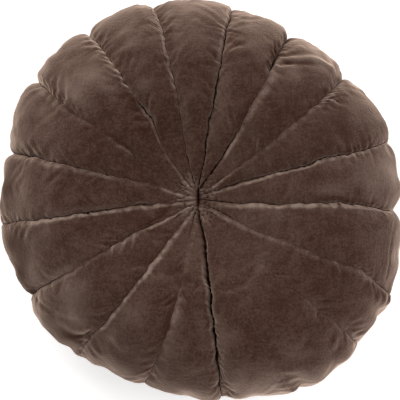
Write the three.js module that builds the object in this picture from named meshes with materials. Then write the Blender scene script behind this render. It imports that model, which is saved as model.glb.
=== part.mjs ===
// A round velvet cushion in the shape of a flower. Seventeen wedge-shaped gores on each face are sewn side to
// side and filled, so every gore stands up as a petal between two sewn channels. The channels run to the middle
// of the face and are drawn in there. The cushion lies on its back: X runs to the right and Y up across its
// face, Z stands up from the surface below it, and all sizes are in millimetres.
import * as THREE from "three";
import { mergeVertices } from "three/addons/utils/BufferGeometryUtils.js";

// Heights through the sewn channels, measured from the edge seam that joins the two faces.
const EDGE_SEAM_HEIGHT = 58;
const FRONT_FACE = { dome: 75, drawnIn: 42 };
const BACK_FACE = { dome: 68, drawnIn: 30 };

// The dome falls away to the rim as 1 - reach ^ DOME_FULLNESS does, and the middle is drawn in up to this reach.
// A reach is a distance from the middle as a share of the rim's.
const DOME_FULLNESS = 2.6;
const DRAWN_IN_REACH = 0.75;

// How far a petal stands above its channels, and the reach from which it stands that high. Past the second reach
// the petal takes the shape that the table gives its rim. A higher flatness makes a petal's crown broader.
const PETAL_DEPTH = 10;
const PETAL_DEPTH_REACH = 0.5;
const RIM_SHAPE_REACH = 0.78;
const PETAL_FLATNESS = 4;

// The edge seam is a shallow groove round the rim, from this reach on.
const EDGE_GROOVE_DEPTH = 3;
const EDGE_GROOVE_REACH = 0.985;

// One row for each petal and for the channel before it, counterclockwise from the right.
// seam: the channel's angle at the rim, halfway and near the middle, in degrees.
// channel: the channel's distance from the middle at the rim, and its depth as a share of the petal's.
// petal: the rim's distance from the middle halfway along the petal, how much it grows from the petal's first
// side to its second, and how plump the petal is.
// back: how far the back gore's seam misses the front one at the rim, in degrees.
const PETALS = [
  { seam: [16.6, 14.0, 19], channel: [222, 1.0], petal: [226.5, -12, 1.0], back: 1.0 },
  { seam: [40.3, 34.8, 35], channel: [211, 0.8], petal: [220.5, -8, 1.05], back: -1.5 },
  { seam: [61.7, 56.3, 60], channel: [209, 1.0], petal: [222, 2, 1.0], back: 2.0 },
  { seam: [80.6, 79.8, 82], channel: [221, 1.1], petal: [229.5, 4, 1.05], back: 0.5 },
  { seam: [103.2, 100.3, 105], channel: [226, 0.9], petal: [236, -2, 1.0], back: -1.0 },
  { seam: [123.6, 121.5, 126], channel: [228, 1.0], petal: [238, -1, 1.0], back: 1.5 },
  { seam: [144.0, 147.3, 149], channel: [227, 0.75], petal: [233.5, -14, 0.95], back: 1.0 },
  { seam: [165.9, 168.4, 170], channel: [217, 0.9], petal: [226.5, 3, 1.0], back: -2.0 },
  { seam: [186.9, 189.6, 192], channel: [225, 1.0], petal: [227, -6, 1.0], back: 1.5 },
  { seam: [209.4, 211.8, 214.5], channel: [215, 0.9], petal: [227.5, -7, 1.05], back: 3.0 },
  { seam: [232.9, 236.5, 240], channel: [222, 0.9], petal: [219.5, 2, 0.95], back: -2.5 },
  { seam: [253.2, 260.0, 261], channel: [214, 0.6], petal: [223.5, 12, 0.95], back: 1.0 },
  { seam: [275.8, 278.0, 277], channel: [223, 1.2], petal: [231.5, 16, 1.0], back: -1.0 },
  { seam: [295.5, 294.0, 291], channel: [240, 0.35], petal: [245.5, 1, 1.0], back: -3.0 },
  { seam: [318.1, 315.5, 311], channel: [239, 0.5], petal: [243.5, 5, 0.95], back: -5.0 },
  { seam: [333.7, 332.8, 328], channel: [240, 0.9], petal: [235, -14, 1.0], back: -2.5 },
  { seam: [356.9, 355.0, 350], channel: [217, 1.0], petal: [228, 0, 1.0], back: 2.0 },
];
// The channels run straight inside the first reach, and the back's seams miss the front's beyond the second.
const INNER_REACH = 0.2;
const BACK_SEAM_REACH = 0.97;

// The points across one petal, from its first channel at -1 to just before the next channel at 1, and the rings
// from one face's middle over the rim to the other's.
const ACROSS = [-1, -0.9, -0.7, -0.37, 0, 0.37, 0.7, 0.9];
const RINGS = 30;
const OUTWARD_STEP = 0.25;

const VELVET = { color: 0x4a3630, roughness: 0.85, metalness: 0 };
const VERTEX_TOLERANCE = 0.001;

const degrees = THREE.MathUtils.degToRad;
const mix = THREE.MathUtils.lerp;
const ease = THREE.MathUtils.smoothstep;

// The height of a face over the edge seam, through the channels.
function faceHeight(face, reach) {
  const dome = face.dome * Math.sqrt(1 - reach ** DOME_FULLNESS);
  const fromMiddle = Math.min(1, reach / DRAWN_IN_REACH);
  return dome - face.drawnIn * (1 - fromMiddle ** 2) ** 2;
}

// A ring of the cushion from the middle of the back at 0 to the middle of the front at 1.
function ringPlace(turn) {
  const angle = Math.PI * (turn - 0.5);
  const reach = Math.min(1, Math.max(0, Math.cos(angle)));
  const isFront = angle > 0;
  const height = isFront ? faceHeight(FRONT_FACE, reach) : -faceHeight(BACK_FACE, reach);
  return { reach, height, isFront };
}

// The direction that points out of the cushion at a ring, as a share along the radius and a share upwards. It is
// read from two places a small step to each side of the ring.
function ringOutward(turn, radius) {
  const step = OUTWARD_STEP / RINGS;
  const below = ringPlace(Math.max(0, turn - step));
  const above = ringPlace(Math.min(1, turn + step));
  const rise = above.height - below.height;
  const run = (above.reach - below.reach) * radius;
  const length = Math.hypot(rise, run);
  return { out: rise / length, up: -run / length };
}

// The angle of a channel at a ring. The channels bend evenly on their way to the middle.
function channelAngle(petal, reach, isFront) {
  const [atRim, halfway, nearMiddle] = petal.seam;
  const share = Math.max(0, (reach - INNER_REACH) / (1 - INNER_REACH));
  const fromMiddle = nearMiddle * (1 - share) * (1 - 2 * share);
  const front = fromMiddle + halfway * 4 * share * (1 - share) + atRim * share * (2 * share - 1);
  return isFront ? front : front + petal.back * ease(-reach, -1, -BACK_SEAM_REACH);
}

// One point of the cushion's surface, at a ring and at a place across a petal.
function surfacePoint(turn, petal, next, across) {
  const share = (across + 1) / 2;
  const fullTurn = next.seam[0] < petal.seam[0] ? 360 : 0;
  const { reach, height, isFront } = ringPlace(turn);
  const firstAngle = channelAngle(petal, reach, isFront);
  const secondAngle = channelAngle(next, reach, isFront) + fullTurn;
  const angle = degrees(mix(firstAngle, secondAngle, share));

  const [petalRadius, growth, plumpness] = petal.petal;
  const channelRadius = mix(petal.channel[0], next.channel[0], share);
  const channelDepth = mix(petal.channel[1], next.channel[1], share);
  const rise = Math.sqrt(1 - Math.abs(across) ** PETAL_FLATNESS);

  const fullDepth = PETAL_DEPTH * plumpness * Math.min(1, reach / PETAL_DEPTH_REACH);
  const crownLift = fullDepth * (1 - channelDepth * (1 - rise));
  const rimLift = (petalRadius + growth * (share - 0.5) - channelRadius) * rise;
  const lift = mix(crownLift, rimLift, ease(reach, RIM_SHAPE_REACH, 1));
  const groove = EDGE_GROOVE_DEPTH * ease(reach, EDGE_GROOVE_REACH, 1);

  const outward = ringOutward(turn, channelRadius);
  const radius = reach * channelRadius + outward.out * (lift - groove);
  const z = EDGE_SEAM_HEIGHT + height + outward.up * (lift - groove);
  return new THREE.Vector3(radius * Math.cos(angle), radius * Math.sin(angle), Math.max(0, z));
}

// The two middles, where all channels of a face meet.
function middlePoint(face, side) {
  return new THREE.Vector3(0, 0, EDGE_SEAM_HEIGHT + side * (face.dome - face.drawnIn));
}

// A sphere's rings and columns carry the petals: each vertex moves to its place on the cushion.
function cushionGeometry() {
  const columns = PETALS.length * ACROSS.length;
  const geometry = new THREE.SphereGeometry(1, columns, RINGS);
  const position = geometry.attributes.position;
  for (let ring = 0; ring <= RINGS; ring++) {
    for (let column = 0; column <= columns; column++) {
      const wrapped = column % columns;
      const petalIndex = Math.floor(wrapped / ACROSS.length);
      const petal = PETALS[petalIndex];
      const next = PETALS[(petalIndex + 1) % PETALS.length];
      let point = surfacePoint(1 - ring / RINGS, petal, next, ACROSS[wrapped % ACROSS.length]);
      if (ring === 0) point = middlePoint(FRONT_FACE, 1);
      if (ring === RINGS) point = middlePoint(BACK_FACE, -1);
      position.setXYZ(ring * (columns + 1) + column, point.x, point.y, point.z);
    }
  }
  geometry.deleteAttribute("normal");
  geometry.deleteAttribute("uv");
  return mergeVertices(geometry, VERTEX_TOLERANCE);
}

// The origin is under the middle of the cushion, on the surface that it lies on.
function centred(geometry) {
  geometry.computeBoundingBox();
  const middle = geometry.boundingBox.getCenter(new THREE.Vector3());
  return geometry.translate(-middle.x, -middle.y, -geometry.boundingBox.min.z);
}

const cushion = new THREE.Mesh(centred(cushionGeometry()), new THREE.MeshStandardMaterial(VELVET));
cushion.name = "cushion";

const part = new THREE.Group();
part.add(cushion);

export default part;
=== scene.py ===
# %% [markdown]
# # A flower cushion in brown velvet
# The real cushion is round. Seventeen wedge-shaped gores of cotton velvet are sewn side to side on each
# face, and the filling pushes each gore up into a petal between two sewn channels. It lies on its back, and
# we look almost straight down on its face. The solid of the cushion comes from the frame, and this lesson
# gives it its velvet surface, with the gathers, folds and nap of the real cloth.

# %% Load the frame
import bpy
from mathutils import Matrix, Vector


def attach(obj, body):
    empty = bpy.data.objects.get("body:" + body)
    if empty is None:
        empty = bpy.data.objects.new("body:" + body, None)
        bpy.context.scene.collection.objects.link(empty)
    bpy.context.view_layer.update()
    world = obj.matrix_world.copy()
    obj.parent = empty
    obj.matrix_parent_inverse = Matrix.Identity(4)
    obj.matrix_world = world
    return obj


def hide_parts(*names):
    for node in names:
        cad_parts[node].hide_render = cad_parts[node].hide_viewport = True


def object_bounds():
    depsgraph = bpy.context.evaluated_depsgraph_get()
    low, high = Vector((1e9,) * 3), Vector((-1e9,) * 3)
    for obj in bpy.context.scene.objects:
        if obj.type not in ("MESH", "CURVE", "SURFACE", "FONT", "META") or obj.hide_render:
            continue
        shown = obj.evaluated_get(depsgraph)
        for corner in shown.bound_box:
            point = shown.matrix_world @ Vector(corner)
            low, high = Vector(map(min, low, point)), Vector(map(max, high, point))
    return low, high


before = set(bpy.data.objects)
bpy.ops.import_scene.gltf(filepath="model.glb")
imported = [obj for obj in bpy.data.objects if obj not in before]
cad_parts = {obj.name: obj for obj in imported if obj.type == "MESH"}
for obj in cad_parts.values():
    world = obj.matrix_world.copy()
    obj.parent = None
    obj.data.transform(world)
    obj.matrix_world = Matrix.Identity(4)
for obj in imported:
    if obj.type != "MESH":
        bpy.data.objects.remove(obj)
solid_low, solid_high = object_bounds()
print("the solid spans", [round(high - low, 4) for low, high in zip(solid_low, solid_high)], "m")

# %% [markdown]
# ## The camera
# A long lens from far away keeps a cushion round, as in a shop's catalogue, where a wide lens from near
# would swell its middle. The camera looks down from almost overhead, and leans a little towards the side
# with the wide petals. The view is aimed at the height of the edge seam, so that the rim just fills the
# picture.

# %% Camera
import math

import bpy
from mathutils import Matrix, Vector

MM = 0.001
EDGE_SEAM_HEIGHT = 58
CAMERA_AZIMUTH = math.radians(33)
CAMERA_ELEVATION = math.radians(82.5)
LENS_MM = 180
SENSOR_MM = 36
VIEW_WIDTH = 0.45

aim = Vector((0, 0, EDGE_SEAM_HEIGHT * MM))
level = math.cos(CAMERA_ELEVATION)
towards_camera = Vector(
    (math.sin(CAMERA_AZIMUTH) * level, -math.cos(CAMERA_AZIMUTH) * level, math.sin(CAMERA_ELEVATION))
)
picture_right = Vector((0, 1, 0)).cross(towards_camera).normalized()
picture_up = towards_camera.cross(picture_right)

camera = bpy.data.objects.new("camera", bpy.data.cameras.new("camera"))
camera.data.lens = LENS_MM
camera.data.sensor_width = SENSOR_MM
camera_distance = VIEW_WIDTH * LENS_MM / SENSOR_MM
turn_to_view = Matrix((picture_right, picture_up, towards_camera)).transposed().to_4x4()
camera.matrix_world = Matrix.Translation(aim + towards_camera * camera_distance) @ turn_to_view
bpy.context.scene.collection.objects.link(camera)
bpy.context.scene.camera = camera
print("the camera is", round(camera_distance, 3), "m away")

# %% [markdown]
# ## The pattern of the petals
# A maker would draw one gore and cut it seventeen times, yet on the finished cushion no two petals are
# alike: the filling is uneven and the sewing wanders. A table with a row for each petal holds that. It
# could be replaced by one petal copied round the middle, which would look like a machine part.
#
# A petal's row begins with its first channel: its angle at the rim, halfway and near the middle, in
# degrees, its distance from the middle at the rim in millimetres, and its depth as a share of the petal's.
# Then comes the petal: how far its rim lies from the middle halfway along it, how much that grows from the
# first side to the second, both in millimetres, and how plump it is. The back angle says by how much the
# back gore's seam misses the front one at the rim, in degrees.

# %% Petals
import numpy as np

PETAL_COLUMNS = (
    "rim angle", "halfway angle", "middle angle", "channel radius", "channel depth",
    "radius", "growth", "plumpness", "back angle",
)
PETALS = [
    (16.6, 14, 19, 222, 1, 226.5, -12, 1, 1),
    (40.3, 34.8, 35, 211, 0.8, 220.5, -8, 1.05, -1.5),
    (61.7, 56.3, 60, 209, 1, 222, 2, 1, 2),
    (80.6, 79.8, 82, 221, 1.1, 229.5, 4, 1.05, 0.5),
    (103.2, 100.3, 105, 226, 0.9, 236, -2, 1, -1),
    (123.6, 121.5, 126, 228, 1, 238, -1, 1, 1.5),
    (144, 147.3, 149, 227, 0.75, 233.5, -14, 0.95, 1),
    (165.9, 168.4, 170, 217, 0.9, 226.5, 3, 1, -2),
    (186.9, 189.6, 192, 225, 1, 227, -6, 1, 1.5),
    (209.4, 211.8, 214.5, 215, 0.9, 227.5, -7, 1.05, 3),
    (232.9, 236.5, 240, 222, 0.9, 219.5, 2, 0.95, -2.5),
    (253.2, 260, 261, 214, 0.6, 223.5, 12, 0.95, 1),
    (275.8, 278, 277, 223, 1.2, 231.5, 16, 1, -1),
    (295.5, 294, 291, 240, 0.35, 245.5, 1, 1, -3),
    (318.1, 315.5, 311, 239, 0.5, 243.5, 5, 0.95, -5),
    (333.7, 332.8, 328, 240, 0.9, 235, -14, 1, -2.5),
    (356.9, 355, 350, 217, 1, 228, 0, 1, 2),
]
PETAL_COUNT = len(PETALS)

of_petals = dict(zip(PETAL_COLUMNS, np.array(PETALS, float).T))
narrowest = np.diff(of_petals["rim angle"]).min().round(1)
print(PETAL_COUNT, "petals, the narrowest", narrowest, "degrees wide")

# %% [markdown]
# ## The section through a channel
# Cut through the cushion along a seam: the front swells up from the edge seam, reaches its highest ring
# about halfway and dips to the middle, where all seventeen seams are pulled down. The back does the same
# more gently. Such a line could be drawn point by point, but a formula with two heights stays smooth and is
# quick to change. A reach is a distance from the middle as a share of the rim's.

# %% Section
FRONT_FACE = {"dome": 75, "drawn_in": 42}
BACK_FACE = {"dome": 68, "drawn_in": 30}
DOME_FULLNESS = 2.6
DRAWN_IN_REACH = 0.75
EDGE_TURN = 0.5


def ease(value, low, high):
    """Goes smoothly from 0 at low to 1 at high."""
    share = np.clip((value - low) / (high - low), 0, 1)
    return share * share * (3 - 2 * share)


def mix(first, second, share):
    """Blends two values, from all of the first at share 0 to all of the second at share 1."""
    return first * (1 - share) + second * share


def face_height(face, reach):
    """The height of a face over the edge seam, through the channels."""
    dome = face["dome"] * np.sqrt(1 - reach**DOME_FULLNESS)
    from_middle = np.minimum(1, reach / DRAWN_IN_REACH)
    return dome - face["drawn_in"] * (1 - from_middle**2) ** 2


def ring_place(turn):
    """Reach and height of a ring, from the back's middle at turn 0 to the front's middle at turn 1."""
    angle = np.pi * (turn - EDGE_TURN)
    reach = np.clip(np.cos(angle), 0, 1)
    height = np.where(angle > 0, face_height(FRONT_FACE, reach), -face_height(BACK_FACE, reach))
    return reach, height


print("the middle of the front lies", FRONT_FACE["dome"] - FRONT_FACE["drawn_in"], "mm over the edge seam")

# %% [markdown]
# ## Rings, petals and places
# The surface is worked out gore by gore, as a sheet with three directions: the rings that run round the
# cushion, the petals, and the places across one petal from its first seam at -1 to its second at 1. A voxel
# remesh would give more even faces, but it would wipe out the seams, which here lie on edges of their own.
# The rings lie closest on the outer part of the front, where the gathers are, and the places lie closest at
# the seams.

# %% Sheet
PLACES = 32
PLACE_CROWDING = 0.75
RING_SPACING = {"middle": 1.5, "inner front": 2.8, "outer front": 1.25, "back": 5.5}
MIDDLE_REACH = 0.14
OUTER_FRONT_REACH = 0.42
RIM_RADIUS = 225
SECTION_SAMPLES = 6001


def ring_turns():
    """The turns of all rings but the two middles, spaced by the length that they cover along the section."""
    turn = np.linspace(0, 1, SECTION_SAMPLES)
    reach, height = ring_place(turn)
    step = np.hypot(np.diff(reach) * RIM_RADIUS, np.diff(height))
    front = np.where(reach > OUTER_FRONT_REACH, RING_SPACING["outer front"], RING_SPACING["inner front"])
    front = np.where(reach < MIDDLE_REACH, RING_SPACING["middle"], front)
    spacing = np.where(turn < EDGE_TURN, RING_SPACING["back"], front)
    count = np.concatenate([[0], np.cumsum(step / spacing[1:])])
    return np.interp(np.arange(1, int(count[-1])), count, turn)


even = np.linspace(-1, 1, PLACES + 1)
across = mix(even, np.sin(np.pi / 2 * even), PLACE_CROWDING)[None, None, :]
petal = np.arange(PETAL_COUNT)[None, :, None]
following = (petal + 1) % PETAL_COUNT
turn = ring_turns()[:, None, None]
reach, height = ring_place(turn)
is_front = turn > EDGE_TURN
sheet = (turn.size, PETAL_COUNT, PLACES + 1)
print("the sheet has", sheet, "rings, petals and places")

# %% [markdown]
# ## The seams
# A sewn line is never quite straight. Each seam follows its angles in the table of petals, and on the front
# face it also bends off that line where the cloth was pulled while it was sewn. Some seams stand open as a
# slit filled with painted shade. Some are closed so tightly that only a ridge shows, where the turned-in
# cloth lies under the velvet and lifts it, and the ridge carries a painted highlight. They could be drawn as
# curves and cut into the mesh, but a table is easier to read and to correct.
#
# A row here follows one seam from the rim to the middle, and gives its values by reach. bends: how far the
# seam lies off its line, in millimetres, counted counterclockwise. open: how wide the slit between the two
# petals stands, in millimetres, which also sets how dark its painted shade is. ridge: how high the ridge
# beside the slit is, as a share that also sets its painted highlight, and how wide it is in millimetres.
# side: the side of the seam that has the ridge and its painted highlight, 1 for the petal after it and -1
# for the one before. Between two reaches the values change evenly. The seams stand in the order of the
# petals.

# %% Seams
SEAMS = [
    dict(side=-1,
         bends={0.97: 1, 0.85: 1.8, 0.74: 2.7, 0.675: 4.4, 0.635: 4, 0.6: 1.8, 0.545: 0.4, 0.45: 1, 0.36: 0,
             0.3: -0.5, 0.2: -1, 0.1: 0.8},
         open={0.97: 0.5, 0.85: 1, 0.6: 1, 0.42: 0.9, 0.3: 0.7, 0.1: 1.2},
         ridge={0.98: (0.3, 1), 0.9: (0.5, 1), 0.76: (0.45, 1.2), 0.66: (0.5, 1.4), 0.58: (0.8, 1.1),
             0.5: (0.75, 1.1), 0.4: (0.7, 1.3), 0.2: (0.6, 1.3), 0.12: (0.3, 1.3)}),
    dict(side=-1,
         bends={0.97: -1, 0.6: 2, 0.3: 0},
         open={0.97: 0.2, 0.25: 0.1, 0.18: 0.5, 0.08: 0.5},
         ridge={0.95: (0.2, 2), 0.7: (0.15, 2.5), 0.25: (0.1, 2), 0.2: (0.4, 1.6), 0.1: (0.5, 1.4)}),
    dict(side=-1,
         bends={0.97: -1.1, 0.93: 1.9, 0.87: 4.4, 0.82: 5.4, 0.75: 4.4, 0.65: 3.4, 0.55: 3.4, 0.47: 0.4,
             0.4: -1.1, 0.3: -1.6, 0.2: -1.9, 0.15: -0.9, 0.1: 1.4, 0.05: 3.2},
         open={0.97: 0.7, 0.92: 0.9, 0.87: 0.7, 0.84: 1, 0.8: 1.7, 0.77: 0.9, 0.73: 0.1, 0.45: 0, 0.4: 0.3,
             0.3: 0.9, 0.24: 1.1, 0.19: 1.7, 0.05: 2.6},
         ridge={0.82: (0, 3.4), 0.74: (0.35, 3.6), 0.66: (0.4, 3.4), 0.5: (0.2, 3), 0.46: (0.1, 2.6),
             0.4: (0.5, 2), 0.3: (0.7, 1.8), 0.24: (0.3, 1.6), 0.2: (0, 1.4)}),
    dict(side=1,
         bends={0.945: -2.2, 0.895: -1.6, 0.84: -0.8, 0.79: -1, 0.755: -1, 0.67: -2, 0.58: -1.5, 0.51: -2.4,
             0.475: -2.3, 0.45: -2, 0.41: -2.1, 0.385: 0, 0.35: -1.2, 0.32: -1.6, 0.27: -1.3, 0.235: -3.2,
             0.14: -3, 0.08: -1.8},
         open={0.97: 0.6, 0.89: 0.8, 0.8: 0.9, 0.74: 0.9, 0.66: 0.8, 0.6: 1, 0.45: 1, 0.35: 1, 0.2: 1.4,
             0.1: 1.7, 0.04: 2},
         ridge={0.98: (0.8, 1.4), 0.9: (0.5, 1.2), 0.84: (0.4, 1.2), 0.76: (0.3, 1.5), 0.66: (0.2, 1.8),
             0.55: (0, 2)}),
    dict(side=1,
         bends={0.97: 1, 0.8: 1, 0.7: 1.5, 0.6: 0.5, 0.5: -1.2, 0.4: -1, 0.2: -1.4, 0.1: -1.2},
         open={0.97: 0.3, 0.8: 0.5, 0.55: 0.4, 0.48: 0.5, 0.35: 0.5, 0.2: 0.9, 0.08: 1},
         ridge={0.98: (0.4, 1.6), 0.86: (0.3, 1.6), 0.78: (0.6, 1.3), 0.62: (0.6, 1.3), 0.54: (0.2, 1.3),
             0.4: (0, 1.3)}),
    dict(side=1,
         bends={0.97: 0.6, 0.9: 0, 0.85: 1, 0.6: 0.5, 0.55: -0.5, 0.5: -2.2, 0.45: -3.8, 0.43: -4.8,
             0.4: -3.9, 0.35: -2.8, 0.31: -1, 0.26: -0.8, 0.15: -1.8, 0.08: -1},
         open={0.97: 0.6, 0.86: 0.8, 0.8: 0.5, 0.58: 0.5, 0.54: 0.8, 0.48: 1.2, 0.44: 1.1, 0.4: 0.5,
             0.3: 0.2, 0.22: 0.6, 0.08: 0.6},
         ridge={0.98: (0.6, 1.5), 0.88: (0.6, 1.4), 0.85: (0.3, 1.3), 0.55: (0.2, 1), 0.48: (0.4, 0.8),
             0.42: (0.5, 0.7), 0.34: (0.45, 0.6), 0.29: (0.1, 0.8), 0.22: (0.35, 0.7), 0.12: (0.35, 0.7)}),
    dict(side=1,
         bends={0.97: -3, 0.85: -3.3, 0.6: -3.8, 0.45: -5, 0.39: -5.5, 0.35: 0, 0.25: 0},
         open={0.97: 0.3, 0.8: 0.35, 0.6: 0.35, 0.48: 0.1, 0.41: 0.2, 0.375: 0.9, 0.35: 0.2, 0.2: 0.2},
         ridge={0.97: (0.1, 3), 0.88: (0.45, 3.2), 0.76: (0.45, 3.2), 0.7: (0.1, 2.5), 0.5: (0.1, 1.8),
             0.46: (0.25, 1.2), 0.4: (0.35, 1), 0.37: (0, 1)}),
    dict(side=1,
         bends={0.97: -2.5, 0.9: -3.5, 0.83: -4.2, 0.75: -3.5, 0.6: -4, 0.45: -4.5, 0.38: -5, 0.3: -6,
             0.2: -5.6, 0.1: -4.6},
         open={0.97: 0.5, 0.88: 0.9, 0.8: 0.8, 0.7: 0.4, 0.5: 0.5, 0.3: 0.4, 0.2: 0.2},
         ridge={0.97: (0.3, 2.2), 0.85: (0.3, 2.4), 0.78: (0.7, 2.4), 0.72: (0.7, 2.4), 0.69: (0.2, 1.8),
             0.56: (0.3, 1.6), 0.46: (0.3, 1.3), 0.4: (0.1, 1.3), 0.2: (0.05, 0.6), 0.155: (0.8, 0.6),
             0.06: (0.9, 0.6)}),
    dict(side=1,
         bends={0.97: -1, 0.85: -1.4, 0.79: -0.8, 0.7: -1.2, 0.6: -2.3, 0.54: -3, 0.45: -3.3, 0.36: -3.9,
             0.3: -4.5, 0.26: -4.4, 0.23: -2.6, 0.21: -4.1, 0.175: -2.4, 0.12: -1.8},
         open={0.97: 0.5, 0.75: 0.6, 0.6: 0.6, 0.54: 1.1, 0.45: 1, 0.38: 0.6, 0.32: 1.1, 0.26: 1,
             0.15: 0.4},
         ridge={0.98: (0.2, 2.4), 0.85: (0.3, 2.8), 0.8: (0.6, 2.2), 0.75: (0.9, 1.8), 0.66: (1, 1.4),
             0.55: (0.9, 1.4), 0.45: (1, 1.5), 0.28: (0.9, 1.3), 0.22: (0.8, 1.1), 0.15: (0.6, 1),
             0.1: (0.3, 1)}),
    dict(side=1,
         bends={0.97: 0, 0.85: -0.3, 0.72: 0.8, 0.66: -0.5, 0.55: 0, 0.45: -2.5, 0.38: -4.5, 0.3: -3.2,
             0.25: -1.5, 0.15: 0.6, 0.1: 1.2},
         open={0.97: 0.5, 0.8: 0.4, 0.7: 0.1, 0.6: 0, 0.48: 0, 0.44: 0.3, 0.4: 0.7, 0.35: 0.2, 0.32: 0.5,
             0.3: 1, 0.27: 0.3, 0.2: 0.2},
         ridge={0.97: (0.2, 1.6), 0.84: (0.4, 1.8), 0.74: (0.4, 1.8), 0.66: (0.1, 1.6), 0.5: (0.1, 1.6),
             0.4: (0.3, 1.8), 0.34: (0.1, 1.4), 0.29: (0.7, 1.1), 0.18: (0.6, 1.1), 0.1: (0.5, 1.2)}),
    dict(side=1,
         bends={0.97: -2, 0.92: -4.9, 0.85: -4.9, 0.8: -3.4, 0.75: -1.9, 0.6: -2.2, 0.5: -2.4, 0.4: -2.8,
             0.3: -2.6, 0.2: -1.8, 0.1: -0.8},
         open={0.97: 0.3, 0.6: 0.1, 0.5: 0.15, 0.2: 0.2},
         ridge={0.96: (0.6, 1.4), 0.85: (0.3, 1.6), 0.82: (0.2, 1.6), 0.78: (0.6, 1.8), 0.71: (0.8, 1.8),
             0.66: (0.4, 1.6), 0.6: (0.6, 1.6), 0.53: (0.3, 1.6), 0.49: (0.9, 1.8), 0.4: (0.9, 1.7),
             0.36: (0.8, 1.9), 0.28: (0.65, 1.8), 0.18: (0.5, 1.6), 0.12: (0.3, 1.5)}),
    dict(side=1,
         bends={0.97: 0, 0.6: -1, 0.2: -1.8, 0.1: -1},
         open={0.97: 0.1, 0.9: 0, 0.25: 0, 0.18: 0.6, 0.08: 0.6},
         ridge={0.8: (0, 2.4), 0.68: (0.2, 2.6), 0.62: (0.3, 2.8), 0.52: (0.25, 2.6), 0.47: (0.1, 2.4)}),
    dict(side=-1,
         bends={0.985: 2.6, 0.9: 2.2, 0.86: 1.4, 0.83: 0.8, 0.8: 0.3, 0.77: 0.9, 0.74: 0.4, 0.71: 0.1,
             0.68: 0.4, 0.65: 1, 0.62: 0.5, 0.59: -0.2, 0.56: -0.8, 0.53: 0.4, 0.5: 2, 0.47: 1.6, 0.41: 1.2,
             0.38: 2.2, 0.32: 2.2, 0.29: 1.9, 0.26: 3.3, 0.23: 4.7, 0.17: 5, 0.14: 3.4, 0.11: 2.3, 0.08: 2},
         open={0.98: 0.9, 0.9: 1.2, 0.84: 1.7, 0.78: 2.4, 0.72: 2.6, 0.66: 3, 0.61: 2, 0.56: 2, 0.5: 2.4,
             0.4: 2.8, 0.35: 2.8, 0.3: 2.2, 0.2: 2.2, 0.12: 2, 0.05: 2.2},
         ridge={0.8: (0.1, 1.2), 0.7: (0.4, 1.1), 0.6: (0.5, 1.1), 0.5: (0.5, 1.1), 0.4: (0.4, 1.1),
             0.3: (0.1, 1.1)}),
    dict(side=1,
         bends={0.97: 0, 0.1: 0},
         open={0.97: 0, 0.1: 0},
         ridge={0.97: (0, 2), 0.1: (0, 2)}),
    dict(side=1,
         bends={0.97: -2, 0.8: 0},
         open={0.97: 0.5, 0.93: 0, 0.1: 0.1},
         ridge={0.99: (0.8, 2.2), 0.95: (0.6, 2.5), 0.92: (0, 2.5), 0.1: (0, 2)}),
    dict(side=-1,
         bends={0.97: -1.6, 0.93: 0, 0.88: 2.5, 0.84: 4.5, 0.81: 7, 0.77: 4.5, 0.72: 2.5, 0.6: 1, 0.5: 2.4,
             0.4: 1.6, 0.3: 0.6, 0.24: 2, 0.15: 2.6, 0.1: 1.8},
         open={0.97: 0.3, 0.9: 0.4, 0.82: 0.3, 0.76: 0, 0.3: 0, 0.22: 0.4, 0.15: 1.2, 0.08: 0.8},
         ridge={0.98: (0.7, 1), 0.94: (0.4, 1.2), 0.9: (0.15, 1.8), 0.86: (0.4, 1.8), 0.82: (0.2, 1.8),
             0.76: (0.15, 2), 0.6: (0.2, 2.2), 0.52: (0.1, 2.2), 0.4: (0.35, 2), 0.27: (0.3, 2),
             0.23: (0.5, 1.5), 0.1: (0.5, 1.2)}),
    dict(side=-1,
         bends={0.97: -1.9, 0.94: -3.2, 0.92: -2.5, 0.88: -0.6, 0.84: 0.6, 0.8: 1, 0.785: 0.2, 0.76: 0.8,
             0.72: 2.4, 0.65: 1.5, 0.6: 1, 0.55: 1.9, 0.5: 0.9, 0.45: 0.5, 0.4: 0.7, 0.35: 2.1, 0.3: 2.6,
             0.25: 1.6, 0.2: 0.8, 0.1: 0.6},
         open={0.97: 0.6, 0.8: 0.7, 0.6: 0.7, 0.5: 0.4, 0.4: 0.5, 0.25: 0.7, 0.18: 1.1, 0.06: 1.4},
         ridge={0.98: (0.5, 1.2), 0.9: (1.1, 1.3), 0.79: (1.5, 1.4), 0.75: (1.3, 1.7), 0.71: (1.2, 2.2),
             0.65: (0.8, 1.7), 0.56: (1, 2.1), 0.48: (0.7, 1.8), 0.4: (0.6, 1.5), 0.33: (0.8, 2),
             0.24: (0.7, 1.6), 0.16: (0.4, 1.8), 0.1: (0.1, 1.8)}),
]
print(len(SEAMS), "seams,", sum(max(row["open"].values()) > 1 for row in SEAMS), "of them open by over 1 mm")

# %% [markdown]
# ## Where each seam runs
# Three angles of a channel give a bend that is smooth all the way from the rim to the middle. A drawn
# spline would do as well, but every seam would then be one more object to place by hand. The places of a
# petal lie between its two channels, so their angles, and how far each one lies from its seam, follow from
# the channels'.

# %% Seam lines
INNER_REACH = 0.2
BACK_SEAM_REACH = 0.97


def channel_angle(which):
    """The angle of a channel along its way, in degrees, bending evenly towards the middle."""
    places = ("rim", "halfway", "middle")
    at_rim, halfway, near_middle = (of_petals[f"{place} angle"][which] for place in places)
    out = np.maximum(0, (reach - INNER_REACH) / (1 - INNER_REACH))
    inner_part = near_middle * (1 - out) * (1 - 2 * out)
    halfway_part = halfway * 4 * out * (1 - out)
    front = inner_part + halfway_part + at_rim * out * (2 * out - 1)
    behind = of_petals["back angle"][which] * ease(-reach, -1, -BACK_SEAM_REACH)
    return np.where(is_front, front, front + behind)


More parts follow.
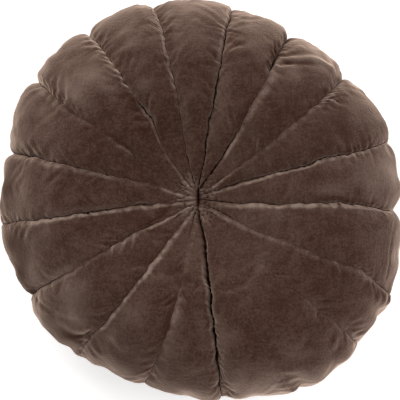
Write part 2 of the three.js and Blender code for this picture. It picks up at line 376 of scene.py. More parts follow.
full_turn = np.where(following < petal, 360, 0)
first_angle = channel_angle(petal)
second_angle = channel_angle(following) + full_turn
share = (across + 1) / 2
angle = np.radians(mix(first_angle, second_angle, share))
channel_radius = mix(of_petals["channel radius"][petal], of_petals["channel radius"][following], share)
half_width = np.radians(second_angle - first_angle) / 2 * reach * channel_radius
from_seam = half_width * (1 - np.abs(across))
at_first = np.where(across < 0, 1.0, 0.0)
at_second = 1 - at_first
print("a petal is up to", round(2 * float(half_width.max()), 1), "mm wide")

# %% [markdown]
# ## How the seams stray
# The bends of the table and the small wander of the stitches move a seam off its line. The wander comes
# from waves with a fixed seed, so the cushion is the same at every run, where free random numbers would
# change it. A seam that strays pulls the cloth on both of its sides along, and less and less with the
# distance.

# %% Straying seams
SEED = 7
WAVES_SUMMED = 9
WAVE_LENGTHS = (0.75, 1.4)
SEAM_APART = 500
WANDERS = [dict(length=17, height=0.4), dict(length=7, height=0.22)]
PULL_WIDTH = 10
PULL_SHARE = 0.5
FULL_PULL_HALF_WIDTH = 9


def wavy(x, y, length, seed):
    """A seeded uneven surface of about -1 to 1, with waves of about that length in every direction."""
    draw = np.random.default_rng(seed)
    total = 0
    for _ in range(WAVES_SUMMED):
        way = draw.uniform(0, 2 * np.pi)
        wave = length * draw.uniform(*WAVE_LENGTHS)
        phase = 2 * np.pi * (x * np.cos(way) + y * np.sin(way)) / wave
        total = total + np.sin(phase + draw.uniform(0, 2 * np.pi))
    return total / math.sqrt(WAVES_SUMMED)


def seam_rows(name, behind, place=None):
    """One value of the seams' table at every ring of the front, and a plain value on the back."""
    at_rings = []
    for row in SEAMS:
        reaches = sorted(row[name])
        values = [row[name][knot] if place is None else row[name][knot][place] for knot in reaches]
        at_rings.append(np.interp(reach[:, 0, 0], reaches, values))
    fronts = np.stack(at_rings, axis=1)[..., None]
    return np.where(is_front, fronts, behind)


def at_both_seams(values, first_side, second_side):
    """Values of each petal's first and second seam, at the places that lie nearer to the one or the other."""
    return first_side * values + second_side * np.roll(values, -1, axis=1)


section_step = np.hypot(np.diff(reach[:, 0, 0]) * RIM_RADIUS, np.diff(height[:, 0, 0]))
from_back = np.concatenate([[0], np.cumsum(section_step)])
along = (from_back[-1] - from_back)[:, None, None]

seam_place = petal * SEAM_APART
bends = seam_rows("bends", 0)
bends = bends + sum(wave["height"] * wavy(along, seam_place, wave["length"], SEED) for wave in WANDERS)
pull_width = np.minimum(PULL_WIDTH, PULL_SHARE * half_width)
pull_first = np.exp(-((half_width * (1 + across) / pull_width) ** 2))
pull_second = np.exp(-((half_width * (1 - across) / pull_width) ** 2))
stray = at_both_seams(bends, pull_first, pull_second) * np.minimum(1, half_width / FULL_PULL_HALF_WIDTH)
print("the seams stray up to", np.abs(stray).max().round(1), "mm")

# %% [markdown]
# ## The petals
# Between two channels a petal rises steeply, because the seam holds the cloth down, and then runs almost
# flat over its crown. A superellipse has just that section. A sine wave would give round sausages with open
# valleys, where the real petals press against each other and leave only a dark line. Where a seam stands
# open, its two petals stand that far apart and the stitched channel between them lies deeper.

# %% Petal shape
PETAL_DEPTH = 10
PETAL_DEPTH_REACH = 0.5
PETAL_DEPTH_POWER = 0.75
RIM_SHAPE_REACH = 0.78
PETAL_FLATNESS = 3
MOST_GAP_SHARE = 0.2
GAP_DEPTH = 1.6
BACK_SLIT = 0.8
FULL_SLIT = 1.6
SLIT_UNEVEN = [dict(length=15, share=0.15), dict(length=5, share=0.2)]
SHELF_START_SHARE = 0.5
SHELF_END = 0.6
CLOSED_DEPTH_SHARE = 0.16
EDGE_GROOVE_DEPTH = 3
EDGE_GROOVE_REACH = 0.985
OUTWARD_STEP = 0.008


def outward(radius):
    """The direction that points out of the cushion, as a share along the radius and a share upwards."""
    below_reach, below_height = ring_place(np.maximum(0, turn - OUTWARD_STEP))
    above_reach, above_height = ring_place(np.minimum(1, turn + OUTWARD_STEP))
    rise = above_height - below_height
    run = (above_reach - below_reach) * radius
    length = np.hypot(rise, run)
    return rise / length, -run / length


slit_width = at_both_seams(seam_rows("open", BACK_SLIT), at_first, at_second)
nearer_seam = np.where(across < 0, petal, following) * SEAM_APART
slit_waves = sum(row["share"] * wavy(along, nearer_seam, row["length"], SEED) for row in SLIT_UNEVEN)
slit_width = slit_width * (1 + slit_waves)
openness = np.minimum(1, slit_width / FULL_SLIT)
channel_depth = mix(of_petals["channel depth"][petal], of_petals["channel depth"][following], share)
channel_depth = channel_depth * mix(CLOSED_DEPTH_SHARE, 1, openness)
gap = np.maximum(0, slit_width)
shelf = np.minimum(gap / 2, MOST_GAP_SHARE * half_width)
inside = np.clip((from_seam - shelf) / (half_width - shelf), 0, 1)
petal_rise = np.sqrt(1 - (1 - inside) ** PETAL_FLATNESS)

depth_here = np.minimum(1, reach / PETAL_DEPTH_REACH) ** PETAL_DEPTH_POWER
full_depth = PETAL_DEPTH * of_petals["plumpness"][petal] * depth_here
crown_lift = full_depth * (1 - channel_depth * (1 - petal_rise))
petal_radius = of_petals["radius"][petal] + of_petals["growth"][petal] * (share - 0.5)
rim_lift = (petal_radius - channel_radius) * petal_rise
lift = mix(crown_lift, rim_lift, ease(reach, RIM_SHAPE_REACH, 1))
lift = lift - EDGE_GROOVE_DEPTH * ease(reach, EDGE_GROOVE_REACH, 1)
on_shelf = 1 - ease(from_seam, SHELF_START_SHARE * shelf, shelf + SHELF_END)
lift = lift - GAP_DEPTH * gap * depth_here * on_shelf
out_share, up_share = outward(channel_radius)


def points(lift, sideways):
    """The place of every corner in millimetres, for a lift over the channels and a move round the cushion."""
    radius = reach * channel_radius + out_share * lift
    z = EDGE_SEAM_HEIGHT + height + up_share * lift
    bearing = angle + sideways / radius
    return np.stack([radius * np.cos(bearing), radius * np.sin(bearing), np.maximum(0, z)], axis=-1)


plain = points(lift, 0)
plan = plain[..., :2]
plain_low, plain_high = plain.reshape(-1, 3).min(0), plain.reshape(-1, 3).max(0)
print("the plain petals reach from", plain_low.round(1), "to", plain_high.round(1), "mm")

# %% [markdown]
# ## The ridges beside the seams
# Under the velvet the turned-in cloth of both gores lies to one side of the seam. It lifts a narrow ridge
# there, a little off the slit, and the ridge gets a painted highlight: its colour is paler, to stand in for
# the light that it catches. A second strip of cloth under the first would be true to the real cushion, but
# it would only show as this same ridge. It fades out where the cushion turns over its rim.

# %% Ridges
RIDGE_HEIGHT = 1.0
RIDGE_OFFSET = 1.2
RIDGE_OFFSET_SHARE = 0.95
RIDGE_UNEVEN = 0.45
RIDGE_HALF_WIDTHS = (1.5, 5)
RIDGE_FADE_HEIGHT = 14
RIDGE_WAVE_LENGTH = 9
RIDGE_FOOT = {"start share": 0.2, "end share": 0.6, "end": 0.5}

ridge_after = np.array([row["side"] == 1 for row in SEAMS])[None, :, None]
ridge_share = seam_rows("ridge", 0, place=0) * ease(height, 0, RIDGE_FADE_HEIGHT)
ridge_before = np.roll(ridge_share * ~ridge_after, -1, axis=1)
ridge_here = at_first * ridge_share * ridge_after + at_second * ridge_before
ridge_width = at_both_seams(seam_rows("ridge", 1, place=1), at_first, at_second)
ridge_here = ridge_here * (1 + RIDGE_UNEVEN * wavy(along, nearer_seam, RIDGE_WAVE_LENGTH, SEED))
ridge_here = ridge_here * ease(half_width, *RIDGE_HALF_WIDTHS)
from_ridge = from_seam - gap / 2 - RIDGE_OFFSET - RIDGE_OFFSET_SHARE * ridge_width
foot_start = RIDGE_FOOT["start share"] * gap
foot_end = RIDGE_FOOT["end share"] * gap + RIDGE_FOOT["end"]
# This shapes the ridge and also marks where its painted highlight goes.
ridge_with_highlight = ridge_here * np.exp(-((from_ridge / ridge_width) ** 2)) * ease(from_seam, foot_start, foot_end)
welt = RIDGE_HEIGHT * ridge_with_highlight
print("the ridges stand", welt.max().round(2), "mm high")

# %% [markdown]
# ## Uneven filling
# Wadding packs into lumps. Waves of a few lengths, each summed from sines in many directions, raise and
# lower the crowns by about a millimetre. They fade to nothing at the seams, which are held down. A
# displacement modifier with a noise texture would do nearly the same, but it wouldn't know where the seams
# are.

# %% Uneven filling
FILLING_WAVES = [
    dict(length=75, height=1.3),
    dict(length=34, height=0.55),
    dict(length=16, height=0.22),
]

uneven = sum(
    wave["height"] * wavy(plan[..., 0], plan[..., 1], wave["length"], SEED + number)
    for number, wave in enumerate(FILLING_WAVES)
)
uneven = uneven * petal_rise * depth_here
print("the filling varies by", uneven.std().round(2), "mm")

# %% [markdown]
# ## Blowing up the cover
# The filling presses the cover out and the seams hold it back, so the cloth between two seams is tight one
# way and slack the other way, and it puckers along the stitches and throws soft folds across the gore.
# Nobody can draw that as well as a simulation. A coarser copy of the cover is pinned along its seams, gets
# a little spare cloth and is pressed out from the inside, without weight. Only the difference that this
# makes is kept, held to a few millimetres. A copy as fine as the sheet would need hours.

# %% Coarse copy
CLOTH_SPACING = 4.5
CLOTH_STEP = 2
PINNED_MIDDLE = 0.1


def cover_mesh(start):
    """A closed mesh of the cover from its rings of places in millimetres."""
    ring_count, count = start.shape[:2]
    tips = [[0, 0, start[end, :, 2].mean()] for end in (0, -1)]
    vertices = np.concatenate([start.reshape(-1, 3), tips]) * MM
    number = np.arange(ring_count * count).reshape(ring_count, count)
    beside = np.roll(number, -1, axis=1)
    sides = np.stack([number[:-1], beside[:-1], beside[1:], number[1:]], axis=-1).reshape(-1, 4)
    under = np.stack([np.full(count, number.size), beside[0], number[0]], axis=-1)
    over = np.stack([np.full(count, number.size + 1), number[-1], beside[-1]], axis=-1)
    mesh = bpy.data.meshes.new("cover")
    mesh.from_pydata(vertices.tolist(), [], sides.tolist() + under.tolist() + over.tolist())
    return mesh


kept = np.unique(np.searchsorted(from_back, np.arange(0, from_back[-1], CLOTH_SPACING)))
coarse = points(lift + uneven, stray)[kept, :, :-1:CLOTH_STEP].reshape(len(kept), -1, 3)
pinned = np.broadcast_to(reach[kept, :, 0] < PINNED_MIDDLE, coarse.shape[:2]).copy()
pinned[:, :: PLACES // CLOTH_STEP] = True
pinned[np.argmax(reach[kept])] = True
print("the coarse copy has", coarse.shape[0], "rings of", coarse.shape[1], "places,", pinned.sum(), "pinned")

# %% [markdown]
# ## Running the cloth
# The pressure blows the copy up for a few frames, until the puckers have formed. Gravity and collisions are
# left out, because the seams hold every petal in place, and that keeps the run at a few seconds. Afterwards
# the copy is removed, and only its moves are kept.

# %% Cloth
CLOTH_FRAMES = 20
CLOTH_PRESSURE = 4
SPARE_CLOTH = 0.03
CLOTH_WEIGHT = 0.15
CLOTH_TENSION = 15
CLOTH_BENDING = 0.05


def blow_up(start, pinned):
    """Simulates the cover and gives the way that each place has moved, in millimetres."""
    cover = bpy.data.objects.new("cover", cover_mesh(start))
    bpy.context.scene.collection.objects.link(cover)
    sewn = cover.vertex_groups.new(name="sewn")
    sewn.add(np.flatnonzero(pinned).tolist() + [pinned.size, pinned.size + 1], 1.0, "REPLACE")
    cloth = cover.modifiers.new("cloth", "CLOTH")
    cloth.settings.mass = CLOTH_WEIGHT
    cloth.settings.tension_stiffness = CLOTH_TENSION
    cloth.settings.compression_stiffness = CLOTH_TENSION
    cloth.settings.bending_stiffness = CLOTH_BENDING
    cloth.settings.use_pressure = True
    cloth.settings.uniform_pressure_force = CLOTH_PRESSURE
    cloth.settings.shrink_min = -SPARE_CLOTH
    cloth.settings.vertex_group_mass = sewn.name
    cloth.settings.effector_weights.gravity = 0
    cloth.collision_settings.use_collision = False
    cloth.point_cache.frame_end = CLOTH_FRAMES
    for frame_number in range(1, CLOTH_FRAMES + 1):
        bpy.context.scene.frame_set(frame_number)
    blown = cover.evaluated_get(bpy.context.evaluated_depsgraph_get()).data
    ended = np.empty(3 * len(blown.vertices))
    blown.vertices.foreach_get("co", ended)
    bpy.data.objects.remove(cover)
    bpy.context.scene.frame_set(1)
    return ended.reshape(-1, 3)[: pinned.size].reshape(start.shape) / MM - start


puff = blow_up(coarse, pinned)
puff = puff.reshape(len(kept), PETAL_COUNT, -1, 3)
puff = np.concatenate([puff, np.roll(puff[:, :, :1], -1, axis=1)], axis=2)
print("the cloth has moved", np.linalg.norm(puff, axis=-1).mean().round(2), "mm on average")

# %% [markdown]
# ## Laying the simulated cloth on the sheet
# The coarse rings and places are spread over the fine sheet, and softened as far as one coarse step, so
# that no facet shows. A subdivision of the simulated copy would be smooth too, but it would lose the sharp
# seams. The cushion in front of us is full and firm, so less than the whole of the puckers is used.

# %% Spread
MOST_PUFF = 3.0
PUFF_SHARE = 0.75
SOFTENINGS = 3


def soften(values):
    """Averages each row with its two neighbours, and leaves the first and the last row."""
    return np.concatenate([values[:1], (values[:-2] + 2 * values[1:-1] + values[2:]) / 4, values[-1:]])


upper = np.clip(np.searchsorted(from_back[kept], from_back, side="right"), 1, len(kept) - 1)
between = (from_back - from_back[kept[upper - 1]]) / (from_back[kept[upper]] - from_back[kept[upper - 1]])
on_rings = mix(puff[upper - 1], puff[upper], between[:, None, None, None])
spread = np.zeros(sheet + (3,))
spread[:, :, ::CLOTH_STEP] = on_rings
spread[:, :, 1::CLOTH_STEP] = (on_rings[:, :, :-1] + on_rings[:, :, 1:]) / 2
for _ in range(SOFTENINGS):
    spread = soften(spread)
    spread = np.moveaxis(soften(np.moveaxis(spread, 2, 0)), 0, 2)
moved_by = np.linalg.norm(spread, axis=-1, keepdims=True)
spread = PUFF_SHARE * spread * MOST_PUFF / np.sqrt(MOST_PUFF**2 + moved_by**2)
print("the puckers reach", np.linalg.norm(spread, axis=-1).max().round(2), "mm")

# %% [markdown]
# ## The rim
# Where a petal's filling stops short of the edge seam the rim is dented, and elsewhere it bulges. These are
# the larger ones, listed by petal. A sculpting brush would make them as well, but nobody could say
# afterwards where.
#
# In a row stand the place across the petal, how far the dent or bulge goes to each side and how far it
# stands out, both in millimetres.

# %% Rim
RIM = {
    0: [(-0.88, 4, -2.2)],
    1: [(-0.84, 5, -4.5)],
    2: [(0.3, 4, -2.4), (-0.76, 5, 1.6)],
    4: [(-0.53, 6, 1.8)],
    5: [(-0.18, 8, 1.8), (0.8, 8, 2), (0.22, 8, 2.4)],
    6: [(0.05, 8, 2), (0.64, 6, -2)],
    7: [(-0.8, 6, 2.4), (-0.04, 7, 1.4)],
    8: [(0, 30, -1.2)],
    9: [(-0.86, 7, -4.2), (0, 16, -2.2), (0.66, 9, -6.5)],
    10: [(-0.2, 13, -2.4), (0.29, 8, -1.6), (0.9, 6, -1.6)],
    11: [(0.66, 7, 1.2)],
    12: [(0.1, 26, -1.8), (-0.84, 9, -5)],
    13: [(-0.68, 10, -8.6), (0.3, 10, -1.6)],
    14: [(0, 20, -2.4), (0.3, 7, -3.4)],
    15: [(-0.75, 14, -2.4)],
    16: [(-0.9, 7, -4.4)],
}
RIM_REACH = (0.88, 0.985)

rim_shape = np.zeros(sheet)
for number, rows in RIM.items():
    for at_across, width, out in rows:
        aside = (across[0] - at_across) * half_width[:, number] / width
        rim_shape[:, number] += out * np.exp(-(aside**2))
rim_shape = rim_shape * ease(reach, *RIM_REACH) * petal_rise
print("the rim is dented by up to", -rim_shape.min().round(1), "mm")

# %% [markdown]
# ## Crumples
# Cotton velvet keeps small soft crumples where it was pressed against the seams, some in groups and some
# alone. They lean towards the rim like the gathers. Waves that are stretched across the gore give them, and
# a second, slower wave says where a group is. Round the slit in the middle, where the cloth is drawn in
# most, finer and higher puckers follow. Sculpting them one by one would take hours, and nobody would see
# the difference.

# %% Crumples
CRUMPLE_HEIGHT = 0.9
CRUMPLE_LENGTH = 8
CRUMPLE_SLANT = 1.1
CRUMPLE_STRETCH = 2.4
CRUMPLE_GROUPS = 34
CRUMPLE_GROUP_LIMITS = (-0.6, 1.1)
CRUMPLE_FROM_SEAM = (6, 26)
CRUMPLE_ON_CROWN = 0.35
SMOOTH_PETALS = {16: 0.25, 15: 0.7, 0: 0.7}
PUCKER_LENGTH = 4.2
PUCKER_HEIGHT = 1.7
PUCKER_FROM_SEAM = (0, 0.8)
PUCKER_START = (0.01, 0.03)
PUCKER_END = (0.08, 0.17)
CRUMPLE_SEED, GROUP_SEED, PUCKER_SEED = SEED + 11, SEED + 12, SEED + 13

leaning = along - CRUMPLE_SLANT * from_seam
crumple = wavy(leaning, nearer_seam + from_seam / CRUMPLE_STRETCH, CRUMPLE_LENGTH, CRUMPLE_SEED)
crumple_group = ease(wavy(plan[..., 0], plan[..., 1], CRUMPLE_GROUPS, GROUP_SEED), *CRUMPLE_GROUP_LIMITS)
crumple_share = mix(1, CRUMPLE_ON_CROWN, ease(from_seam, *CRUMPLE_FROM_SEAM))
crumple = crumple * crumple_group * crumple_share * petal_rise * depth_here
for number, smooth_share in SMOOTH_PETALS.items():
    crumple[:, number] *= smooth_share
pucker = wavy(plan[..., 0], plan[..., 1], PUCKER_LENGTH, PUCKER_SEED) * ease(from_seam, *PUCKER_FROM_SEAM)
crumple = crumple + PUCKER_HEIGHT * pucker * ease(reach, *PUCKER_START) * (1 - ease(reach, *PUCKER_END))
crumple = np.where(is_front, crumple, 0)
print("the crumples stand", (CRUMPLE_HEIGHT * crumple).std().round(2), "mm off the crown")

# %% [markdown]
# ## The gathers
# A gore is cut longer than the seam that it is sewn to, so that it can swell, and the spare length gathers
# in small ridges that leave the seam and lean towards the rim. A cloth simulation makes such ridges only
# with a very fine mesh, so they are laid out here as a tailor would mark them: along each side of each
# seam, closer or wider, higher or lower. Between two ridges the cloth is pinched to a crease, which a power
# of a sine under one gives.
#
# seam is the number of the channel, and side is 1 for the petal after it and -1 for the petal before it,
# counterclockwise. The row holds from the low reach to the high one. pitch, length and height are in
# millimetres, and slant is how far a gather runs along the seam towards the rim for each millimetre off it.
# A ridge is a narrow raised gather with flat cloth between and a painted highlight on its crest, and a
# crease is a narrow sunk one with painted shade in it; ridges also get a little painted shade between them.
# The plain gathers, whose row begins with the low reach, run along both sides of every seam.

# %% Gathers
RIDGE, CREASE = "ridge", "crease"
GATHER_COLUMNS = ("seam", "side", "low", "high", "kind", "pitch", "slant", "length", "height")
GATHERS = [
    (1, -1, 0.78, 0.94, RIDGE, 6, 1.5, 16, 1.9),
    (2, -1, 0.8, 0.99, CREASE, 5, 1, 7, 1.6),
    (2, 1, 0.8, 0.99, CREASE, 4.6, 1.2, 6, 1.3),
    (3, 1, 0.86, 0.98, RIDGE, 6, 1.8, 7, 0.9),
    (3, -1, 0.25, 0.48, CREASE, 10, 0.4, 5, 1),
    (3, -1, 0.55, 0.9, RIDGE, 13, 1.5, 12, 0.7),
    (4, 1, 0.79, 0.99, RIDGE, 5.2, 1.5, 12, 2),
    (4, 1, 0.52, 0.8, RIDGE, 15, 3, 8, 1.7),
    (4, -1, 0.7, 0.97, CREASE, 5.6, 1, 5, 0.8),
    (5, 1, 0.58, 0.9, RIDGE, 9.5, 1.5, 11, 1.9),
    (6, -1, 0.78, 0.96, RIDGE, 8.5, 1, 14, 0.8),
    (7, -1, 0.79, 0.95, CREASE, 3.9, 1.2, 5, 1.3),
    (7, -1, 0.3, 0.7, CREASE, 8, 0.6, 4, 0.7),
    (8, 1, 0.76, 0.98, RIDGE, 5.2, 1.2, 9, 1.2),
    (9, 1, 0.36, 0.54, RIDGE, 15, 1.3, 13, 1.7),
    (9, -1, 0.37, 0.44, CREASE, 4.2, -0.5, 7, 1.3),
    (10, 1, 0.2, 0.55, RIDGE, 9, 1.4, 5, 0.8),
    (12, 1, 0.76, 0.99, RIDGE, 4.6, 1.3, 9, 2),
    (12, 1, 0.09, 0.17, CREASE, 4.5, 0.8, 4, 1.2),
    (12, 1, 0.56, 0.78, RIDGE, 10, 1.5, 8, 0.7),
    (15, 1, 0.76, 0.93, RIDGE, 8, 1.5, 9, 0.8),
    (16, -1, 0.66, 0.97, RIDGE, 6, 1.5, 9, 0.9),
]
PLAIN_GATHER = (0.2, 0.99, CREASE, 6.5, 1.3, 8, 0.4)
print(len(GATHERS), "rows of gathers beside the plain ones")

# %% [markdown]
# ## Laying the gathers
# The plain gathers are laid first, and then the rows of the table. Where two of them meet, the stronger one
# is kept, as cloth can't be gathered twice. Each gather gets its own length and height from a seeded draw.
# At a seam the walls of the petals are steep, so the gathers also push them sideways there.

# %% Laying the gathers
GATHER_FADE = 0.03
GATHER_LENGTHS = (0.6, 1.3)
GATHER_STRENGTHS = (0.45, 1.0)
GATHER_FULL_SHARE = 0.25
GATHER_FROM_SEAM = (0.3, 2.5)
GATHER_SHARPNESS = {RIDGE: 2.5, CREASE: 4.0}
PITCH_DRIFT = 2.0
DRIFT_LENGTH = 23
MOST_GATHERS = 400
WALL_SWELL = 0.45
WALL_REACH = 2.2


def gather(row, seed):
    """The gathers along one side of a seam: their phase, and how high each stands here at most."""
    draw = np.random.default_rng(seed)
    drift = PITCH_DRIFT * wavy(along, 0, DRIFT_LENGTH, seed)
    phase = (along - row["slant"] * from_seam + drift) / row["pitch"]
    number = np.floor(phase).astype(int) % MOST_GATHERS
    starting = ease(reach, row["low"], row["low"] + GATHER_FADE)
    window = starting * (1 - ease(reach, row["high"] - GATHER_FADE, row["high"])) * is_front
    length = row["length"] * draw.uniform(*GATHER_LENGTHS, MOST_GATHERS)[number]
    strength = draw.uniform(*GATHER_STRENGTHS, MOST_GATHERS)[number]
    fading = 1 - ease(from_seam, GATHER_FULL_SHARE * length, length)
    return phase, row["height"] * window * strength * fading


gather_phase = np.zeros(sheet)
gather_heights = {RIDGE: np.zeros(sheet), CREASE: np.zeros(sheet)}
plain_rows = [(seam, side) + PLAIN_GATHER for seam in range(PETAL_COUNT) for side in (1, -1)]
for number, cells in enumerate(plain_rows + GATHERS):
    row = dict(zip(GATHER_COLUMNS, cells))
    petal_here = row["seam"] if row["side"] == 1 else (row["seam"] - 1) % PETAL_COUNT
    phase, height_here = gather(row, SEED + number)
    half = (petal == petal_here) & (np.where(across < 0, 1, -1) == row["side"])
    stronger = half & (height_here > np.maximum(gather_heights[RIDGE], gather_heights[CREASE]))
    gather_phase = np.where(stronger, phase, gather_phase)
    for kind, heights in gather_heights.items():
        heights[stronger] = height_here[stronger] if kind == row["kind"] else 0

swing = np.abs(np.sin(np.pi * gather_phase))
raised = gather_heights[RIDGE] * swing ** GATHER_SHARPNESS[RIDGE]
sunk = gather_heights[CREASE] * (1 - swing) ** GATHER_SHARPNESS[CREASE]
gathered = (raised - sunk) * ease(from_seam, *GATHER_FROM_SEAM)
towards_seam = np.where(across < 0, -1, 1)
at_wall = from_seam / WALL_REACH * np.exp(1 - from_seam / WALL_REACH)
swell = WALL_SWELL * (raised - sunk) * at_wall * towards_seam
print("the gathers stand up to", gathered.max().round(2), "mm high")

# %% [markdown]
# ## The folds
# Where the filling is slack, a petal shows folds of its own. They are few and every one is different, so
# each is drawn as a soft ridge or trough, along a line of a few points on its petal.
#
# The folds are listed by petal. A row holds the fold's width, its rise, its painted light and its line.
# The width is the distance in millimetres at which the fold has sunk to a third of its rise. The rise is in
# millimetres too, and a trough has one below 0. Above 0 the fold gets a painted highlight and below 0
# painted shade. A point of the line is a reach and a place across the petal, from -1 at its first channel
# to 1 at the next.

# %% Folds
FOLDS = {
    0: [
        (1.9, 1.5, 0, [(0.812, 0.92), (0.822, 0.83), (0.848, 0.64)]),
        (2.4, 1.5, 0, [(0.849, 0.92), (0.905, 0.71), (0.923, 0.55)]),
        (2.1, 1, 0, [(0.76, 0.88), (0.804, 0.68)]),
        (1.6, -1.3, 0, [(0.836, 0.86), (0.862, 0.52)]),
        (0.8, 0.6, 0.35, [(0.3, 0.75), (0.19, 0.6), (0.1, 0.5)]),
    ],
    1: [
        (2.2, 1.5, 0.5, [(0.852, 0.9), (0.889, 0.73), (0.923, 0.59), (0.947, 0.44)]),
        (2.6, 2.4, 1.1, [(0.775, 0.97), (0.84, 0.77), (0.875, 0.37), (0.905, 0.1), (0.928, -0.19),
                         (0.936, -0.49), (0.94, -0.66)]),
        (2, -1, -0.2, [(0.85, 0.8), (0.88, 0.66), (0.905, 0.41), (0.935, 0.1)]),
        (2.8, -1.6, -0.2, [(0.815, 0.8), (0.86, 0.33), (0.885, -0.01), (0.9, -0.17)]),
        (3, 1.4, 0.5, [(0.745, 0.97), (0.775, 0.86), (0.796, 0.67), (0.842, 0.22)]),
    ],
    4: [
        (1.1, 0.9, 0.6, [(0.15, -0.5), (0.07, -0.4)]),
        (0.9, 0.7, 0.4, [(0.11, 0.3), (0.06, 0.1)]),
    ],
    5: [
        (1.3, 1.2, 0.8, [(0.125, -0.2), (0.06, -0.15)]),
        (1, -0.8, -0.6, [(0.12, 0.35), (0.085, 0.3)]),
        (1.8, 1, 0, [(0.956, 0.7), (0.9, 0.9)]),
        (1.8, 0.9, 0, [(0.93, 0.68), (0.88, 0.88)]),
        (2.2, 1.2, 0, [(0.905, 0.55), (0.86, 0.88)]),
        (2, -1.3, 0, [(0.892, 0.42), (0.832, 0.85)]),
        (2.8, 1.1, 0, [(0.865, 0.42), (0.812, 0.8)]),
        (2.2, -1.1, 0, [(0.825, 0.45), (0.774, 0.82)]),
        (2.4, 1.1, 0, [(0.806, 0.36), (0.752, 0.76)]),
    ],
    6: [
        (1.1, 0.9, 0.8, [(0.095, -0.8), (0.03, -0.6)]),
    ],
    7: [
        (1.1, 0.8, 0.9, [(0.075, 0.35), (0.028, 0.1)]),
        (0.8, 0.5, 1, [(0.06, -0.2), (0.035, -0.3), (0.015, -0.3)]),
    ],
    8: [
        (1.6, 1.1, 0.6, [(0.12, -0.6), (0.07, -0.5)]),
        (1, 0.7, 0.6, [(0.07, 0.3), (0.03, 0.2)]),
        (1.6, -0.9, -0.5, [(0.3, 0.7), (0.23, 0.45), (0.16, 0.1)]),
        (1.4, -0.6, -0.4, [(0.24, 0), (0.19, -0.2), (0.13, -0.3)]),
        (1.3, 0.7, 0.3, [(0.22, 0.55), (0.17, 0.5), (0.12, 0.4)]),
        (0.9, 0.6, 1, [(0.08, 0), (0.045, 0), (0.02, 0)]),
    ],
    9: [
        (1.1, 0.9, 0.6, [(0.1, -0.5), (0.06, -0.7)]),
        (1, 0.8, 0.4, [(0.115, 0.4), (0.05, 0.3)]),
        (1.7, -1.2, 0, [(0.95, -0.8), (0.9, -0.38)]),
        (2.4, 1, 0, [(0.95, -0.6), (0.905, -0.28)]),
        (2.3, 1.3, 0, [(0.805, 0.2), (0.74, 0.57), (0.703, 0.79), (0.673, 0.89)]),
        (1.8, -0.9, 0, [(0.727, 0.46), (0.676, 0.77)]),
        (2, -0.8, 0, [(0.765, 0.62), (0.719, 0.86)]),
        (6.5, 1.8, 0, [(0.915, -0.15), (0.87, 0.35), (0.82, 0.75)]),
        (2.8, -2.4, 0, [(0.915, 0.48), (0.865, 0.79), (0.832, 0.9)]),
        (4.5, -1.4, 0, [(0.925, 0.15), (0.885, 0.9)]),
        (1.6, -0.7, -0.4, [(0.33, -0.8), (0.29, -0.55), (0.27, -0.3)]),
        (1.2, -0.7, -0.6, [(0.17, -0.4), (0.12, -0.45), (0.08, -0.5)]),
        (0.9, 0.6, 1, [(0.095, 0.1), (0.065, 0), (0.035, 0)]),
        (2.4, 0.8, 0.25, [(0.885, -0.3), (0.87, -0.05), (0.83, 0.3)]),
        (1.6, -0.8, -0.1, [(0.87, -0.62), (0.845, -0.4), (0.8, -0.1)]),
        (1.5, 0.9, 0.3, [(0.92, -0.7), (0.905, -0.5), (0.87, -0.3)]),
    ],
    10: [
        (2, 1, 0.5, [(0.165, -0.43), (0.12, -0.5)]),
        (1.8, 0.9, 0.2, [(0.48, -0.9), (0.505, -0.6)]),
        (1.8, 1, 0, [(0.64, -0.92), (0.738, -0.28)]),
        (1, 0.7, 1, [(0.095, -0.2), (0.075, 0), (0.05, 0.2)]),
    ],
    11: [
        (1.2, 0.8, 0.3, [(0.11, 0), (0.06, 0)]),
    ],
    12: [
        (1.4, 1, 0.5, [(0.14, 0.6), (0.08, 0.7)]),
        (3, 0.9, 0, [(0.56, -0.74), (0.67, -0.69)]),
    ],
    13: [
        (1.1, -0.7, -0.5, [(0.17, 0.1), (0.12, -0.1), (0.07, -0.3)]),
    ],
    15: [
        (1.2, -0.6, -0.1, [(0.945, -0.85), (0.94, -0.35), (0.943, 0.18), (0.975, 0.8)]),
    ],
}
print(sum(len(rows) for rows in FOLDS.values()), "folds on", len(FOLDS), "petals")

# %% [markdown]
# ## Laying the folds
# A curve runs through the points of each fold. Every place of the petal finds the nearest spot on it, and
# rises by its distance from there, so a fold has a soft round section all along. It tapers off at both
# ends, quickly where it runs into a seam. Loop cuts moved by hand would do the same, but slowly, and they
# couldn't be changed later.

# %% Laying the folds
CURVE_STEPS = 8
FOLD_TAPER = 0.3
SEAM_END_TAPER = 0.08
PAST_END = 0.02
FOLD_START = 2.5
FOLD_START_SHARE = 0.4
AT_SEAM = 0.6


def curve_through(knots):
    """A smooth curve through a few points of the plan."""
    ends = np.concatenate([[2 * knots[0] - knots[1]], knots, [2 * knots[-1] - knots[-2]]])
    step = np.linspace(0, 1, CURVE_STEPS, endpoint=False)[:, None]
    parts = []
    for before, first, second, after in zip(ends[:-3], ends[1:-2], ends[2:-1], ends[3:]):
        bend = 2 * before - 5 * first + 4 * second - after
        twist = 3 * (first - second) + after - before
        parts.append(first + step * (second - before + step * (bend + step * twist)) / 2)
    return np.concatenate(parts + [knots[-1:]])


def on_petal(number, at_reach, at_across):
    """The plan place of a point that is given by its petal, its reach and its place across."""
    ring = np.argmin(np.abs(reach - at_reach) + np.where(is_front, 0, 1))
    return [np.interp(at_across, across[0, 0], plan[ring, number, :, axis]) for axis in (0, 1)]


